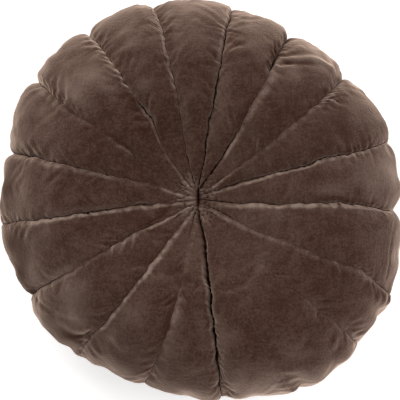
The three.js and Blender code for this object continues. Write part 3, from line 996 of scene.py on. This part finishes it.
def fold(number, width, line):
    """The shape of one fold on the sheet of its petal, up to 1."""
    curve = curve_through(np.array([on_petal(number, *knot) for knot in line]))
    spots = plan[:, number]
    nearest = np.full(spots.shape[:2], np.inf)
    way = np.zeros(spots.shape[:2])
    for piece, (start, end) in enumerate(zip(curve[:-1], curve[1:])):
        run = end - start
        on_line = np.clip(((spots - start) @ run) / (run @ run), 0, 1)
        distance = np.linalg.norm(spots - start - on_line[..., None] * run, axis=-1)
        closer = distance < nearest
        nearest = np.where(closer, distance, nearest)
        way = np.where(closer, (piece + on_line) / (len(curve) - 1), way)
    first_taper, last_taper = (
        SEAM_END_TAPER if abs(knot[1]) > AT_SEAM else FOLD_TAPER for knot in (line[0], line[-1])
    )
    taper = ease(way, -PAST_END, first_taper) * (1 - ease(way, 1 - last_taper, 1 + PAST_END))
    return np.exp(-((nearest / width) ** 2)) * taper


folded = np.zeros(sheet)
fold_painted_light = np.zeros(sheet)
for number, rows in FOLDS.items():
    for width, rise, fold_light, line in rows:
        shape = fold(number, width, line)
        folded[:, number] += rise * shape
        # This places painted highlight and painted shade along the folds.
        fold_painted_light[:, number] += fold_light * shape
fold_fade = is_front * ease(from_seam, 0, np.minimum(FOLD_START, FOLD_START_SHARE * half_width))
folded = folded * fold_fade
fold_painted_light = fold_painted_light * fold_fade
print("the folds go from", folded.min().round(1), "to", folded.max().round(1), "mm")

# %% [markdown]
# ## The middle
# All seams end in one row of stitches that is pulled down hard, and the cloth closes over it in a short
# slit. A hole cut with a boolean would have sharp edges and break the rings. So a circle round the middle
# is flattened into the two lips of the slit, and the rings around it are flattened less and less, so that
# the seams run to the lips and not to one point. Inside the lips the cloth goes straight down.

# %% Middle
SLIT = {"x": 0.9, "half_length": 10.5, "depth": 16.0}
LIP_RADIUS = SLIT["half_length"] / 2
LIP_ROUND = 3.5
LIP_DROP = 3.0
LIP_CLEARANCE = 1.02
LEAST_DISTANCE = 0.01
LIP_SHADE_FADE = (1.05, 1.45)

from_slit = np.hypot(plan[..., 0] - SLIT["x"], plan[..., 1])


def drawn_in(corners):
    """Flattens the middle of the front into the slit."""
    x, y = corners[..., 0] - SLIT["x"], corners[..., 1]
    distance = np.hypot(x, y)
    outside = np.maximum(distance, LIP_CLEARANCE * LIP_RADIUS)
    squeeze = (LIP_RADIUS / outside) ** 2
    stretch = outside / np.maximum(distance, LEAST_DISTANCE)
    past_lip = np.maximum(0, distance - LIP_RADIUS)
    into_slit = 1 - np.minimum(1, distance / LIP_RADIUS)
    drop = LIP_DROP * np.exp(-((past_lip / LIP_ROUND) ** 2)) + SLIT["depth"] * into_slit
    moved = [SLIT["x"] + x * stretch * (1 - squeeze), y * stretch * (1 + squeeze), corners[..., 2] - drop]
    return np.where(is_front[..., None], np.stack(moved, axis=-1), corners)


# Painted shade in the middle slit: inside the lips the velvet is marked for its almost black shader, to stand
# in for the shadow there.
slit_painted_shade = np.where(is_front, 1 - ease(from_slit / LIP_RADIUS, *LIP_SHADE_FADE), 0)
print("the slit is", SLIT["depth"], "mm deep")

# %% [markdown]
# ## Brushed patches and painted light at the rims
# Velvet keeps the trace of every hand that strokes it. Where the pile lies towards us it looks pale and
# dusty, and where it lies away from us it looks dark. Near the rims the patches are painted light and shade
# as well: dark ones along the left and lower left stand for shade, and pale ones along the lower and right
# rims stand for the sheen that the rim catches. These patches are soft, and they end at the seams. Paint
# that is sprayed evenly would leave a cushion of plastic.
#
# The patches are listed by petal. A row holds a reach, a place across the petal, how far the patch goes
# along the petal and across it in millimetres until it has faded to a third, and the pile, above 0 for pale
# and below 0 for dark, which near the rims is painted highlight and painted shade.

# %% Brushed patches
# Rows near the rims are mostly painted light and shade: dark ones at the left and lower left, pale ones at
# the lower and right rims.
BRUSHED_AND_PAINTED_LIGHT = {
    0: [(0.1, 0, 12, 4, 0.6), (0.8, 0.05, 20, 20, -0.65), (0.47, -0.26, 12, 10, -0.35),
        (0.22, -0.3, 18, 5, -0.6), (0.9, 0.6, 10, 10, -0.5), (0.96, -0.6, 6, 10, -0.5),
        (0.82, -0.93, 34, 4, -0.5)],
    1: [(0.78, 0.9, 9, 5, -0.7), (0.91, -0.15, 5, 18, 1), (0.79, 0.3, 7, 9, 0.8), (0.98, -0.6, 5, 10, 0.9),
        (0.71, -0.35, 16, 16, -0.3), (0.75, 0.66, 9, 9, 0.2), (0.62, -0.3, 16, 12, -0.5),
        (0.95, -0.93, 9, 6, -0.5), (0.84, -0.9, 12, 6, -0.8), (0.86, 0.92, 14, 5, -0.6)],
    2: [(0.88, -0.93, 16, 5, -0.4), (0.48, 0.35, 22, 6, 0.3), (0.55, -0.85, 50, 5, -0.3),
        (0.8, 0.18, 9, 9, 0.25), (0.83, -0.85, 12, 8, -0.9)],
    3: [(0.77, 0.6, 20, 7, 0.4), (0.39, 0.6, 24, 5, 0.35), (0.92, 0.93, 10, 6, -1),
        (0.75, 0.96, 34, 5, -0.5), (0.77, 0, 14, 12, 0.35), (0.05, 0, 7, 4, 0.6)],
    4: [(0.8, 0.1, 10, 10, 0.7), (0.58, 0.4, 12, 9, 0.5), (0.86, 0.93, 24, 5, -0.7),
        (0.66, -0.93, 16, 5, -0.5), (0.41, 0.5, 28, 15, -0.4), (0.63, 0.92, 10, 6, -0.5),
        (0.06, 0, 8, 4, 0.7)],
    5: [(0.08, 0, 5, 3, 0.3), (0.77, -0.09, 13, 24, 1.1), (0.74, 0.62, 10, 6, 0.5),
        (0.68, -0.4, 14, 10, 0.7), (0.76, 0.45, 24, 8, 0.6), (0.56, -0.88, 14, 6, -0.8),
        (0.44, 0.92, 24, 5, -0.7), (0.81, 0.92, 10, 6, -0.6), (0.41, -0.7, 28, 14, -0.35),
        (0.55, 0.66, 12, 10, -0.3), (0.9, 0.95, 9, 6, -0.5), (0.06, 0, 8, 4, 0.7)],
    6: [(0.76, -0.93, 12, 6, -0.7), (0.55, -0.85, 12, 6, -0.7), (0.85, -0.55, 9, 9, 0.5),
        (0.86, -0.43, 12, 10, 0.25), (0.86, -0.93, 12, 6, -0.6), (0.06, 0, 8, 4, 0.5)],
    7: [(0.08, -0.3, 5, 3, 0.4), (0.95, 0.1, 12, 28, -1.7), (0.82, 0.35, 8, 10, 0.4),
        (0.58, 0.9, 50, 4, 0.5), (0.6, 0.97, 30, 2.5, -0.5), (0.7, 0.92, 28, 7, 0.35),
        (0.49, -0.18, 12, 9, -0.35), (0.77, -0.92, 12, 5, -0.4)],
    8: [(0.36, -0.15, 16, 8, -0.6), (0.94, -0.5, 12, 18, -1.5), (0.74, -0.5, 9, 7, 0.4),
        (0.17, -0.2, 9, 4, -0.6), (0.96, 0.4, 12, 22, -1.7), (0.98, 0.97, 6, 5, -1.6),
        (0.88, -0.3, 9, 26, -0.6), (0.89, 0.68, 10, 9, 0.5), (0.76, -0.95, 16, 5, 0.4),
        (0.63, 0, 9, 9, 0.3), (0.46, -0.6, 26, 9, -0.6), (0.78, 0.92, 26, 6, 1.1), (0.21, 0.5, 7, 5, -0.4)],
    9: [(0.09, 0, 9, 4, 0.9), (0.76, -0.5, 16, 15, 0.9), (0.96, 0.1, 6, 24, -0.3), (0.82, 0, 14, 14, 0.6),
        (0.94, 0.3, 10, 22, -1.1), (0.8, 0.92, 9, 6, -0.5), (0.5, 0.93, 50, 4, -0.3),
        (0.84, 0.26, 6, 10, 1.1), (0.92, 0.55, 5, 9, -1.2), (0.49, -0.92, 9, 6, 0.35),
        (0.45, 0.26, 13, 12, -0.45)],
    10: [(0.1, 0, 9, 4, 0.8), (0.66, -0.6, 13, 8, 0.6), (0.98, -0.1, 5, 28, 0.5), (0.9, 0.1, 12, 30, -0.9),
        (0.66, -0.2, 16, 9, 0.4), (0.7, 0.95, 24, 5, -0.6), (0.8, -0.6, 14, 6, 0.6),
        (0.88, -0.9, 9, 8, -0.4), (0.87, 0.8, 10, 8, -0.7)],
    11: [(0.64, -0.75, 24, 7, 0.5), (0.97, 0.6, 6, 14, 0.8), (0.76, -0.25, 9, 9, 0.35),
        (0.91, -0.3, 12, 20, -0.9), (0.78, 0.1, 14, 10, -0.3), (0.77, -0.85, 12, 7, 0.5),
        (0.24, 0.1, 12, 6, 0.3), (0.5, -0.6, 20, 7, -0.3), (0.58, 0.85, 18, 6, -0.5),
        (0.66, 0.55, 30, 7, 0.35), (0.6, 0.93, 40, 3, -0.4), (0.1, 0, 10, 5, 0.3)],
    12: [(0.5, -0.75, 24, 6, -0.5), (0.85, -0.25, 12, 10, 0.6), (0.69, -0.2, 14, 10, 0.3),
        (0.68, 0.7, 12, 8, -0.3), (0.9, 0.5, 16, 18, 0.35), (0.97, 0.1, 7, 26, 0.7),
        (0.65, -0.6, 22, 4, 0.45), (0.56, 0.1, 16, 7, -0.4), (0.12, -0.4, 10, 5, 0.4)],
    13: [(0.06, 0, 6, 3, 0.7), (0.11, -0.26, 7, 3, 0.9), (0.45, 0.98, 8, 8, 0.35), (0.73, 0.92, 9, 8, 0.35),
        (0.8, -0.43, 13, 12, 0.35), (0.61, 0.43, 26, 20, -0.2), (0.97, -0.3, 6, 24, 0.7)],
    14: [(0.45, -0.98, 8, 8, 0.35), (0.73, -0.98, 9, 8, 0.35), (0.87, -0.51, 10, 12, -0.45),
        (0.92, 0.8, 10, 8, -0.6), (0.71, -0.3, 14, 12, -0.2), (0.66, 0.55, 14, 12, -0.35)],
    15: [(0.7, 0.92, 36, 5, 0.3), (0.89, 0.26, 8, 9, 0.4), (0.35, -0.43, 16, 12, 0.25),
        (0.7, 0.96, 30, 3, -0.8), (0.44, 0.4, 10, 8, 0.4), (0.98, 0.1, 7, 30, 0.8)],
    16: [(0.87, -0.1, 18, 26, 0.85), (0.68, -0.38, 18, 9, 0.7), (0.95, 0.3, 9, 22, 1.3),
        (0.67, -0.8, 12, 4, -0.5), (0.8, -0.5, 8, 8, -0.3), (0.96, -0.6, 6, 12, 0.6),
        (0.81, -0.94, 34, 3, -1), (0.28, 0, 20, 5, -0.4), (0.55, 0.6, 20, 9, -0.3),
        (0.7, 0.72, 14, 9, 0.3)],
}
print(sum(len(rows) for rows in BRUSHED_AND_PAINTED_LIGHT.values()), "brushed patches")

# %% [markdown]
# ## Laying the patches
# Each patch is an oval that fades from its middle, turned so that its length points outwards along the
# petal. They add up in one layer of numbers on the sheet. Painting them on the mesh with a brush would need
# a new painting after every change of the mesh. The crinkled cloth round the slit is made a little paler
# all round.

# %% Laying the patches
PALE_MIDDLE = 0.5
PALE_MIDDLE_RADIUS = 22

brushed_and_painted_light = PALE_MIDDLE * np.where(is_front, np.exp(-((from_slit / PALE_MIDDLE_RADIUS) ** 2)), 0)
for number, rows in BRUSHED_AND_PAINTED_LIGHT.items():
    for at_reach, at_across, long_size, cross_size, pile_and_light in rows:
        middle = np.array(on_petal(number, at_reach, at_across))
        out_way = middle / np.linalg.norm(middle)
        from_middle = plan[:, number] - middle
        lengthways = from_middle @ out_way / long_size
        crossways = from_middle @ np.array([-out_way[1], out_way[0]]) / cross_size
        patch = pile_and_light * np.exp(-(lengthways**2) - crossways**2)
        brushed_and_painted_light[:, number] += patch * is_front[:, 0]
print("the pile goes from", brushed_and_painted_light.min().round(2), "to", brushed_and_painted_light.max().round(2))

# %% [markdown]
# ## Sewing the sheet together
# Each gore has both of its edges on the sheet. Merging vertices by distance would sew them, but it would
# close the narrowest slits too. So sewing is a change of numbers: the last place of a petal gets the number
# of the first place of the next one. Inside the dip and on the back, where nothing is fine, every second
# place is left out, and a row of triangles joins the two densities.

# %% Faces
rings = turn.size
dense = ((reach > OUTER_FRONT_REACH) & is_front).ravel()
BACK_MIDDLE = rings * PETAL_COUNT * (PLACES + 1)
FRONT_MIDDLE = BACK_MIDDLE + 1


def corner(ring, places):
    """The numbers of the corners at a ring and some places, for all petals."""
    return ((ring * PETAL_COUNT + np.arange(PETAL_COUNT)[:, None]) * (PLACES + 1) + places).ravel()


every = np.arange(PLACES)
second = np.arange(0, PLACES, 2)
quads = []
triangles = []
for ring in range(rings - 1):
    above = ring + 1
    if dense[ring] == dense[above]:
        here, step = (every, 1) if dense[ring] else (second, 2)
        lower_side = [corner(ring, here), corner(ring, here + step)]
        quads.append(lower_side + [corner(above, here + step), corner(above, here)])
    elif dense[above]:
        left, right = corner(ring, second), corner(ring, second + 2)
        fine = [corner(above, second + step) for step in range(3)]
        triangles += [[left, right, fine[1]], [left, fine[1], fine[0]], [right, fine[2], fine[1]]]
    else:
        left, right = corner(above, second), corner(above, second + 2)
        fine = [corner(ring, second + step) for step in range(3)]
        triangles += [[fine[0], fine[1], left], [fine[1], fine[2], right], [fine[1], right, left]]
fan = np.ones(PETAL_COUNT * len(second), int)
triangles.append([fan * BACK_MIDDLE, corner(0, second + 2), corner(0, second)])
triangles.append([fan * FRONT_MIDDLE, corner(rings - 1, second), corner(rings - 1, second + 2)])
quads = np.concatenate([np.stack(row, axis=-1) for row in quads])
triangles = np.concatenate([np.stack(row, axis=-1) for row in triangles])
print(2 * len(quads) + len(triangles), "triangles")

# %% [markdown]
# ## The mesh
# All reliefs are added up and the sheet becomes one mesh. They could be stacked as displacement modifiers,
# each with a vertex group, but then no layer could know what the others do. The cushion is flat where it
# lies, so nothing goes below the floor, and it is moved until its plain petals are centred on the solid of
# the frame.

# %% Mesh
relief = welt + uneven + rim_shape + CRUMPLE_HEIGHT * crumple + gathered + folded
detailed = drawn_in(points(lift + relief, stray + swell) + spread)
detailed[..., 2] = np.maximum(0, detailed[..., 2])
solid_middle = (np.array(solid_low) + np.array(solid_high)) / 2
shift = solid_middle / MM - (plain_low + plain_high) / 2
shift[2] = 0
back_middle = [[0, 0, EDGE_SEAM_HEIGHT - BACK_FACE["dome"] + BACK_FACE["drawn_in"]]]
front_middle = [[SLIT["x"], 0, detailed[-1, :, :, 2].min()]]
places = (np.concatenate([detailed.reshape(-1, 3), back_middle, front_middle]) + shift) * MM

sewn = np.arange(len(places))
grid = np.arange(BACK_MIDDLE).reshape(sheet)
sewn[grid[:, :, PLACES].ravel()] = np.roll(grid[:, :, 0], -1, axis=1).ravel()
used, numbers = np.unique(np.concatenate([sewn[quads].ravel(), sewn[triangles].ravel()]), return_inverse=True)
faces = numbers[: quads.size].reshape(-1, 4).tolist() + numbers[quads.size :].reshape(-1, 3).tolist()

mesh = bpy.data.meshes.new("cushion_velvet")
mesh.from_pydata(places[used].tolist(), [], faces)
mesh.shade_smooth()
cushion = bpy.data.objects.new("cushion_velvet", mesh)
bpy.context.scene.collection.objects.link(cushion)
print(len(used), "vertices")

# %% [markdown]
# ## Marks for the velvet
# The material needs to know where on a gore it is and what lies there. A texture map could be painted for
# that, but the sheet knows it already and writes it as plain values on the corners of the faces: corners,
# and not vertices, because a vertex on a seam belongs to two gores at once.

# %% Marks
OPEN_SLIT_SHARE = 0.75
SLIT_EDGE = 0.3
FULL_SHADE_SLIT = 2.2

face_corners = np.concatenate([quads.ravel(), triangles.ravel()])


def mark(name, values, in_slit=0):
    """Writes values of the sheet on the corners of the mesh. The front's middle lies in the slit."""
    flat = np.concatenate([np.broadcast_to(values, sheet).ravel(), [0, in_slit]])
    layer = mesh.attributes.new(name, "FLOAT", "CORNER")
    layer.data.foreach_set("value", flat[face_corners].astype(np.float32))


# Painted shade in the open slits: the wider a slit stands, the more this mark sends the velvet to its almost
# black shader, to stand in for the shadow in the slit.
slit_half = OPEN_SLIT_SHARE * gap + SLIT_EDGE
seam_painted_shade = np.exp(-((from_seam / slit_half) ** 2)) * np.minimum(1, gap / FULL_SHADE_SLIT)
mark("gore_across", across * half_width * MM)
mark("gore_along", along * MM + petal)
mark("gather_phase", gather_phase)
mark("raised", gather_heights[RIDGE])
mark("sunk", gather_heights[CREASE])
# The ridges' mark places their painted highlight in the velvet.
mark("ridge_with_highlight", ridge_with_highlight)
mark("seam_painted_shade", np.maximum(seam_painted_shade, slit_painted_shade), in_slit=1)
mark("crumple", crumple)
mark("fold_painted_light", fold_painted_light)
mark("brushed_and_painted_light", brushed_and_painted_light)
print("marks:", [layer.name for layer in mesh.attributes if layer.domain == "CORNER"])

# %% [markdown]
# ## A small language for nodes
# Each node could be added and linked by hand, but the velvet's sum of noises would then fill pages. Sums
# read best as sums. The class Wire wraps a node's output, so that +, - and * add Math nodes, and the class
# Paint adds every other node by one method.

# %% Nodes
class Wire:
    """An output of a node. Sums written with wires add Math nodes to the same material."""

    def __init__(self, paint, socket):
        self.paint = paint
        self.socket = socket

    def math(self, operation, first, second):
        return self.paint.node("ShaderNodeMath", {"operation": operation}, {0: first, 1: second})

    def __add__(self, other):
        return self.math("ADD", self, other)

    def __mul__(self, other):
        return self.math("MULTIPLY", self, other)

    def __sub__(self, other):
        return self.math("SUBTRACT", self, other)

    def __rsub__(self, other):
        return self.math("SUBTRACT", other, self)

    __radd__ = __add__
    __rmul__ = __mul__


class Paint:
    """The nodes of one material."""

    def __init__(self, name):
        self.material = bpy.data.materials.new(name)
        self.material.use_nodes = True
        self.tree = self.material.node_tree
        self.tree.nodes.clear()

    def node(self, kind, settings, inputs, output=0):
        """Adds a node: its settings first, then a value or a wire for each of its named inputs."""
        added = self.tree.nodes.new(kind)
        for name, setting in settings.items():
            setattr(added, name, setting)
        for name, value in inputs.items():
            if isinstance(value, Wire):
                self.tree.links.new(value.socket, added.inputs[name])
            else:
                added.inputs[name].default_value = value
        return Wire(self, added.outputs[output]) if added.outputs else added

    def mark(self, name):
        return self.node("ShaderNodeAttribute", {"attribute_name": name}, {}, output="Fac")

    def noise(self, place, scale, detail=2.0):
        return self.node("ShaderNodeTexNoise", {}, {"Vector": place, "Scale": scale, "Detail": detail})

    def range(self, value, low, high, at_low, at_high):
        inputs = {"Value": value, "From Min": low, "From Max": high, "To Min": at_low, "To Max": at_high}
        return self.node("ShaderNodeMapRange", {"interpolation_type": "SMOOTHSTEP"}, inputs)

    def blend(self, factor, first, second):
        colors = {"Factor": factor, "A": first, "B": second}
        return self.node("ShaderNodeMix", {"data_type": "RGBA"}, colors, output="Result")

    def principled(self, inputs):
        return self.node("ShaderNodeBsdfPrincipled", {}, inputs)


# %% [markdown]
# ## The nap of the velvet
# Velvet is woven with a pile of short cut threads. Where it stands up we look into it and it is dark, and
# where it leans it shines a little. So the colour goes from dark to light with a sum of noises: broad
# patches, the lines of the warp and the weft, the grain of single tufts, and two marks of the sheet. One is
# painted shading on the crumples, lighter on their crests and darker in their hollows; the other is the
# brushed patches, partly pile and partly painted light and shade. A photographed cloth as an image texture
# would be quicker, but it would be stretched at every petal, and it would bring its own light with it.

# %% Nap
NAP_DARK = (0.025, 0.0046, 0.0012, 1)
NAP_LIGHT = (0.059, 0.0276, 0.0200, 1)
NAP_MIDDLE = 4.42
NAP_SPREAD = 0.88
LARGE_PATCHES, SMALL_PATCHES, SMALL_PATCH_SHARE = 20, 62, 1.4
THREAD_STRETCH = 3.5
CROSS_LAYER = 0.5
ALONG_THREADS, ALONG_SHARE = 90, 0.5
CROSS_THREADS, CROSS_SHARE = 75, 0.6
WEAVE_SCALE = 420
WARP_STRETCH = (1.0, 0.15, 1.0)
WEFT_STRETCH = (0.15, 1.0, 1.0)
COARSE_GRAIN, FINE_GRAIN, FINE_GRAIN_SHARE = 230, 520, 2.2
CRUMPLE_PAINTED_SHADING = 0.3
BRUSHED_AND_LIGHT_SHARE = 0.6

velvet = Paint("velvet")
spot = velvet.node("ShaderNodeTexCoord", {}, {}, output="Object")


def threads_along(stretch_across, stretch_along, layer):
    """A place on the gore, stretched so that noise on it looks like threads."""
    on_gore = {
        "X": velvet.mark("gore_across") * stretch_across,
        "Y": velvet.mark("gore_along") * stretch_along,
        "Z": layer,
    }
    return velvet.node("ShaderNodeCombineXYZ", {}, on_gore)


def weave_along(stretch):
    """The noise of one set of threads of the weave."""
    stretched = velvet.node("ShaderNodeVectorMath", {"operation": "MULTIPLY"}, {0: spot, 1: stretch})
    return velvet.noise(stretched, WEAVE_SCALE)


patches = velvet.noise(spot, LARGE_PATCHES) + velvet.noise(spot, SMALL_PATCHES) * SMALL_PATCH_SHARE
along_threads = velvet.noise(threads_along(THREAD_STRETCH, 1.0, 0.0), ALONG_THREADS)
cross_threads = velvet.noise(threads_along(1.0, THREAD_STRETCH, CROSS_LAYER), CROSS_THREADS)
weave = weave_along(WARP_STRETCH) + weave_along(WEFT_STRETCH)
threads = along_threads * ALONG_SHARE + cross_threads * CROSS_SHARE + weave
fine_grain = velvet.noise(spot, FINE_GRAIN, detail=0.0)
grain = velvet.noise(spot, COARSE_GRAIN, detail=0.0) + fine_grain * FINE_GRAIN_SHARE
# The crumple mark paints the crumples lighter on their crests and darker in their hollows, as painted
# shading.
crumple_shading_mark, brushed_and_painted_light_mark = velvet.mark("crumple"), velvet.mark("brushed_and_painted_light")
nap = patches + threads + grain + crumple_shading_mark * CRUMPLE_PAINTED_SHADING + brushed_and_painted_light_mark * BRUSHED_AND_LIGHT_SHARE
lightness = velvet.range(nap, NAP_MIDDLE - NAP_SPREAD, NAP_MIDDLE + NAP_SPREAD, 0.0, 1.0)
nap_color = velvet.blend(lightness, NAP_DARK, NAP_LIGHT)
print("the nap takes", len(velvet.tree.nodes), "nodes")

# %% [markdown]
# ## Painted highlights and painted shade
# The ridges beside the seams and the crests of gathers and folds get a painted highlight: their colour turns
# pale to stand in for the light that they catch. The slits, the creases of gathers and folds and the dark
# brushed patches get painted shade: a second, almost black shader stands in for their shadow. Both could
# be painted by hand, but the sheet has already written down where they are.

# %% Painted highlights and shade
HIGHLIGHT_COLOR = (0.21, 0.150, 0.122, 1)
CREST_START = 0.72
VALLEY_END = 0.45
RAISED_PINCH = 0.3
RIDGE_HIGHLIGHT_NAP, RIDGE_HIGHLIGHT_LESS = 0.4, 0.55
CREST_HIGHLIGHT, FOLD_HIGHLIGHT, BRUSHED_AND_HIGHLIGHT_PALE = 0.35, 0.5, 0.07
PINCH_SHADE, BRUSHED_AND_SHADE_DARK = 0.45, 0.4

wave = velvet.node("ShaderNodeMath", {"operation": "SINE"}, {0: velvet.mark("gather_phase") * math.pi})
wave = velvet.node("ShaderNodeMath", {"operation": "ABSOLUTE"}, {0: wave})
raised_mark = velvet.mark("raised")
# crest places a painted highlight on the gathers' crests and pinch places painted shade in their creases;
# both also shape the bump.
crest = velvet.range(wave, CREST_START, 1.0, 0.0, 1.0) * raised_mark
valley = velvet.range(wave, 0.0, VALLEY_END, 1.0, 0.0)
pinch = valley * velvet.mark("sunk") + valley * raised_mark * RAISED_PINCH
fold_light_mark = velvet.mark("fold_painted_light")
# Painted highlight: ridges, gather crests and pale folds blend towards the pale colour, and the brushed
# patches add a little paler pile.
highlight_and_pale_pile = velvet.mark("ridge_with_highlight") * (nap * RIDGE_HIGHLIGHT_NAP - RIDGE_HIGHLIGHT_LESS) + crest * CREST_HIGHLIGHT + fold_light_mark * FOLD_HIGHLIGHT
highlight_and_pale_pile = highlight_and_pale_pile + brushed_and_painted_light_mark * nap * BRUSHED_AND_HIGHLIGHT_PALE
highlight_and_pale_pile = velvet.node("ShaderNodeMath", {"operation": "MINIMUM"}, {0: highlight_and_pale_pile, 1: 1.0})
color = velvet.blend(highlight_and_pale_pile, nap_color, HIGHLIGHT_COLOR)
# Painted shade: creases, dark folds, dark brushed patches and the slits blend towards the almost black
# shader.
painted_shade = pinch * PINCH_SHADE - fold_light_mark - brushed_and_painted_light_mark * BRUSHED_AND_SHADE_DARK
crease = velvet.node("ShaderNodeMath", {"operation": "MAXIMUM"}, {0: painted_shade, 1: velvet.mark("seam_painted_shade")})
print("with its wear the velvet takes", len(velvet.tree.nodes), "nodes")

# %% [markdown]
# ## The surface of the velvet
# The tips of the pile catch light that comes from the side, which is what makes velvet look soft. The sheen
# of the Principled shader does that, over a rough base with hardly any shine. A glossy cloth shader would
# make it satin. The bump is only the grain of the pile, as all folds are real. Slits and creases use a
# second shader, almost black and without sheen, as painted shade.

# %% Velvet
PAINTED_SHADE_COLOR = (0.030, 0.0085, 0.0040, 1)
SHEEN_TINT = (1.0, 0.75, 0.61, 1)
BUMP_GRAIN, BUMP_THREADS, BUMP_PINCH, BUMP_CREST = 0.15, 0.35, 0.4, 0.3

bumps = grain * BUMP_GRAIN + threads * BUMP_THREADS - pinch * BUMP_PINCH + crest * BUMP_CREST
bump = velvet.node("ShaderNodeBump", {}, {"Strength": 0.6, "Distance": MM, "Height": bumps})
open_pile = velvet.principled(
    {
        "Base Color": color,
        "Roughness": 0.9,
        "Specular IOR Level": 0.09,
        "Sheen Weight": 1.0,
        "Sheen Roughness": 0.5,
        "Sheen Tint": SHEEN_TINT,
        "Normal": bump,
    }
)
# This almost black shader is the painted shade of slits and creases.
painted_shade_shader = velvet.principled({"Base Color": PAINTED_SHADE_COLOR, "Roughness": 1.0, "Specular IOR Level": 0.0})
surface = velvet.node("ShaderNodeMixShader", {}, {0: crease, 1: open_pile, 2: painted_shade_shader})
velvet.node("ShaderNodeOutputMaterial", {}, {"Surface": surface})
cushion.data.materials.append(velvet.material)
print("the velvet takes", len(velvet.tree.nodes), "nodes")

# %% [markdown]
# ## The floor
# The cushion is shown on pure white, with no shadow to speak of. A plain floor of white paper that also
# glows a little gives that, and it still throws some light back on the sides of the cushion. With no floor
# at all the cushion would hang in the air and its lower edge would be too dark.

# %% Floor
FLOOR_HALF = 3.0
FLOOR_COLOR = (0.93, 0.93, 0.93, 1)
WHITE = (1, 1, 1, 1)

floor_mesh = bpy.data.meshes.new("floor")
floor_corners = [(x * FLOOR_HALF, y * FLOOR_HALF, 0) for x, y in ((-1, -1), (1, -1), (1, 1), (-1, 1))]
floor_mesh.from_pydata(floor_corners, [], [(0, 1, 2, 3)])
floor = bpy.data.objects.new("floor", floor_mesh)
bpy.context.scene.collection.objects.link(floor)
paper = Paint("pale_floor")
paper_surface = paper.principled(
    {
        "Base Color": FLOOR_COLOR,
        "Roughness": 1.0,
        "Specular IOR Level": 0.0,
        "Emission Color": WHITE,
        "Emission Strength": 0.5,
    }
)
paper.node("ShaderNodeOutputMaterial", {}, {"Surface": paper_surface})
floor.data.materials.append(paper.material)
print("the floor is", 2 * FLOOR_HALF, "m wide")

# %% [markdown]
# ## The light
# Velvet shows its nap only in light that rakes over it. A wide lamp stands low beyond the upper left, so
# every petal is pale on that side and dark on the other. A second one at the right and a weak one at the
# lower right keep the far sides readable, and a white world fills the rest. A sun would be simpler, but its
# hard light would draw sharp shadows in every seam, where the real ones are soft.

# %% Light
WORLD_STRENGTH = 0.42
LAMPS = {
    "key": {"place": (-1.1, 1.75, 0.9), "size": 1.4, "power": 37, "color": (1.0, 0.985, 0.93)},
    "side": {"place": (1.63, 0.0, 1.63), "size": 1.4, "power": 20, "color": (1.0, 1.0, 1.0)},
    "fill": {"place": (0.9, -1.9, 0.7), "size": 1.8, "power": 10, "color": (1.0, 1.0, 1.0)},
}

world = bpy.data.worlds.new("studio")
world.use_nodes = True
world.node_tree.nodes["Background"].inputs["Color"].default_value = WHITE
world.node_tree.nodes["Background"].inputs["Strength"].default_value = WORLD_STRENGTH
bpy.context.scene.world = world
for name, row in LAMPS.items():
    lamp_data = bpy.data.lights.new(name, "AREA")
    lamp_data.shape = "DISK"
    lamp_data.size = row["size"]
    lamp_data.energy = row["power"]
    lamp_data.color = row["color"]
    lamp = bpy.data.objects.new(name, lamp_data)
    lamp.location = row["place"]
    lamp.rotation_euler = (aim - lamp.location).to_track_quat("-Z", "Y").to_euler()
    bpy.context.scene.collection.objects.link(lamp)
    print("the", name, "lamp is", round((aim - lamp.location).length, 2), "m away")
bpy.context.scene.view_settings.view_transform = "Standard"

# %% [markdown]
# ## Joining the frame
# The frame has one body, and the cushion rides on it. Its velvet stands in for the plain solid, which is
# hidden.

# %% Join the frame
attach(cushion, "root")
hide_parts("cushion")
print("the cushion has joined the frame")
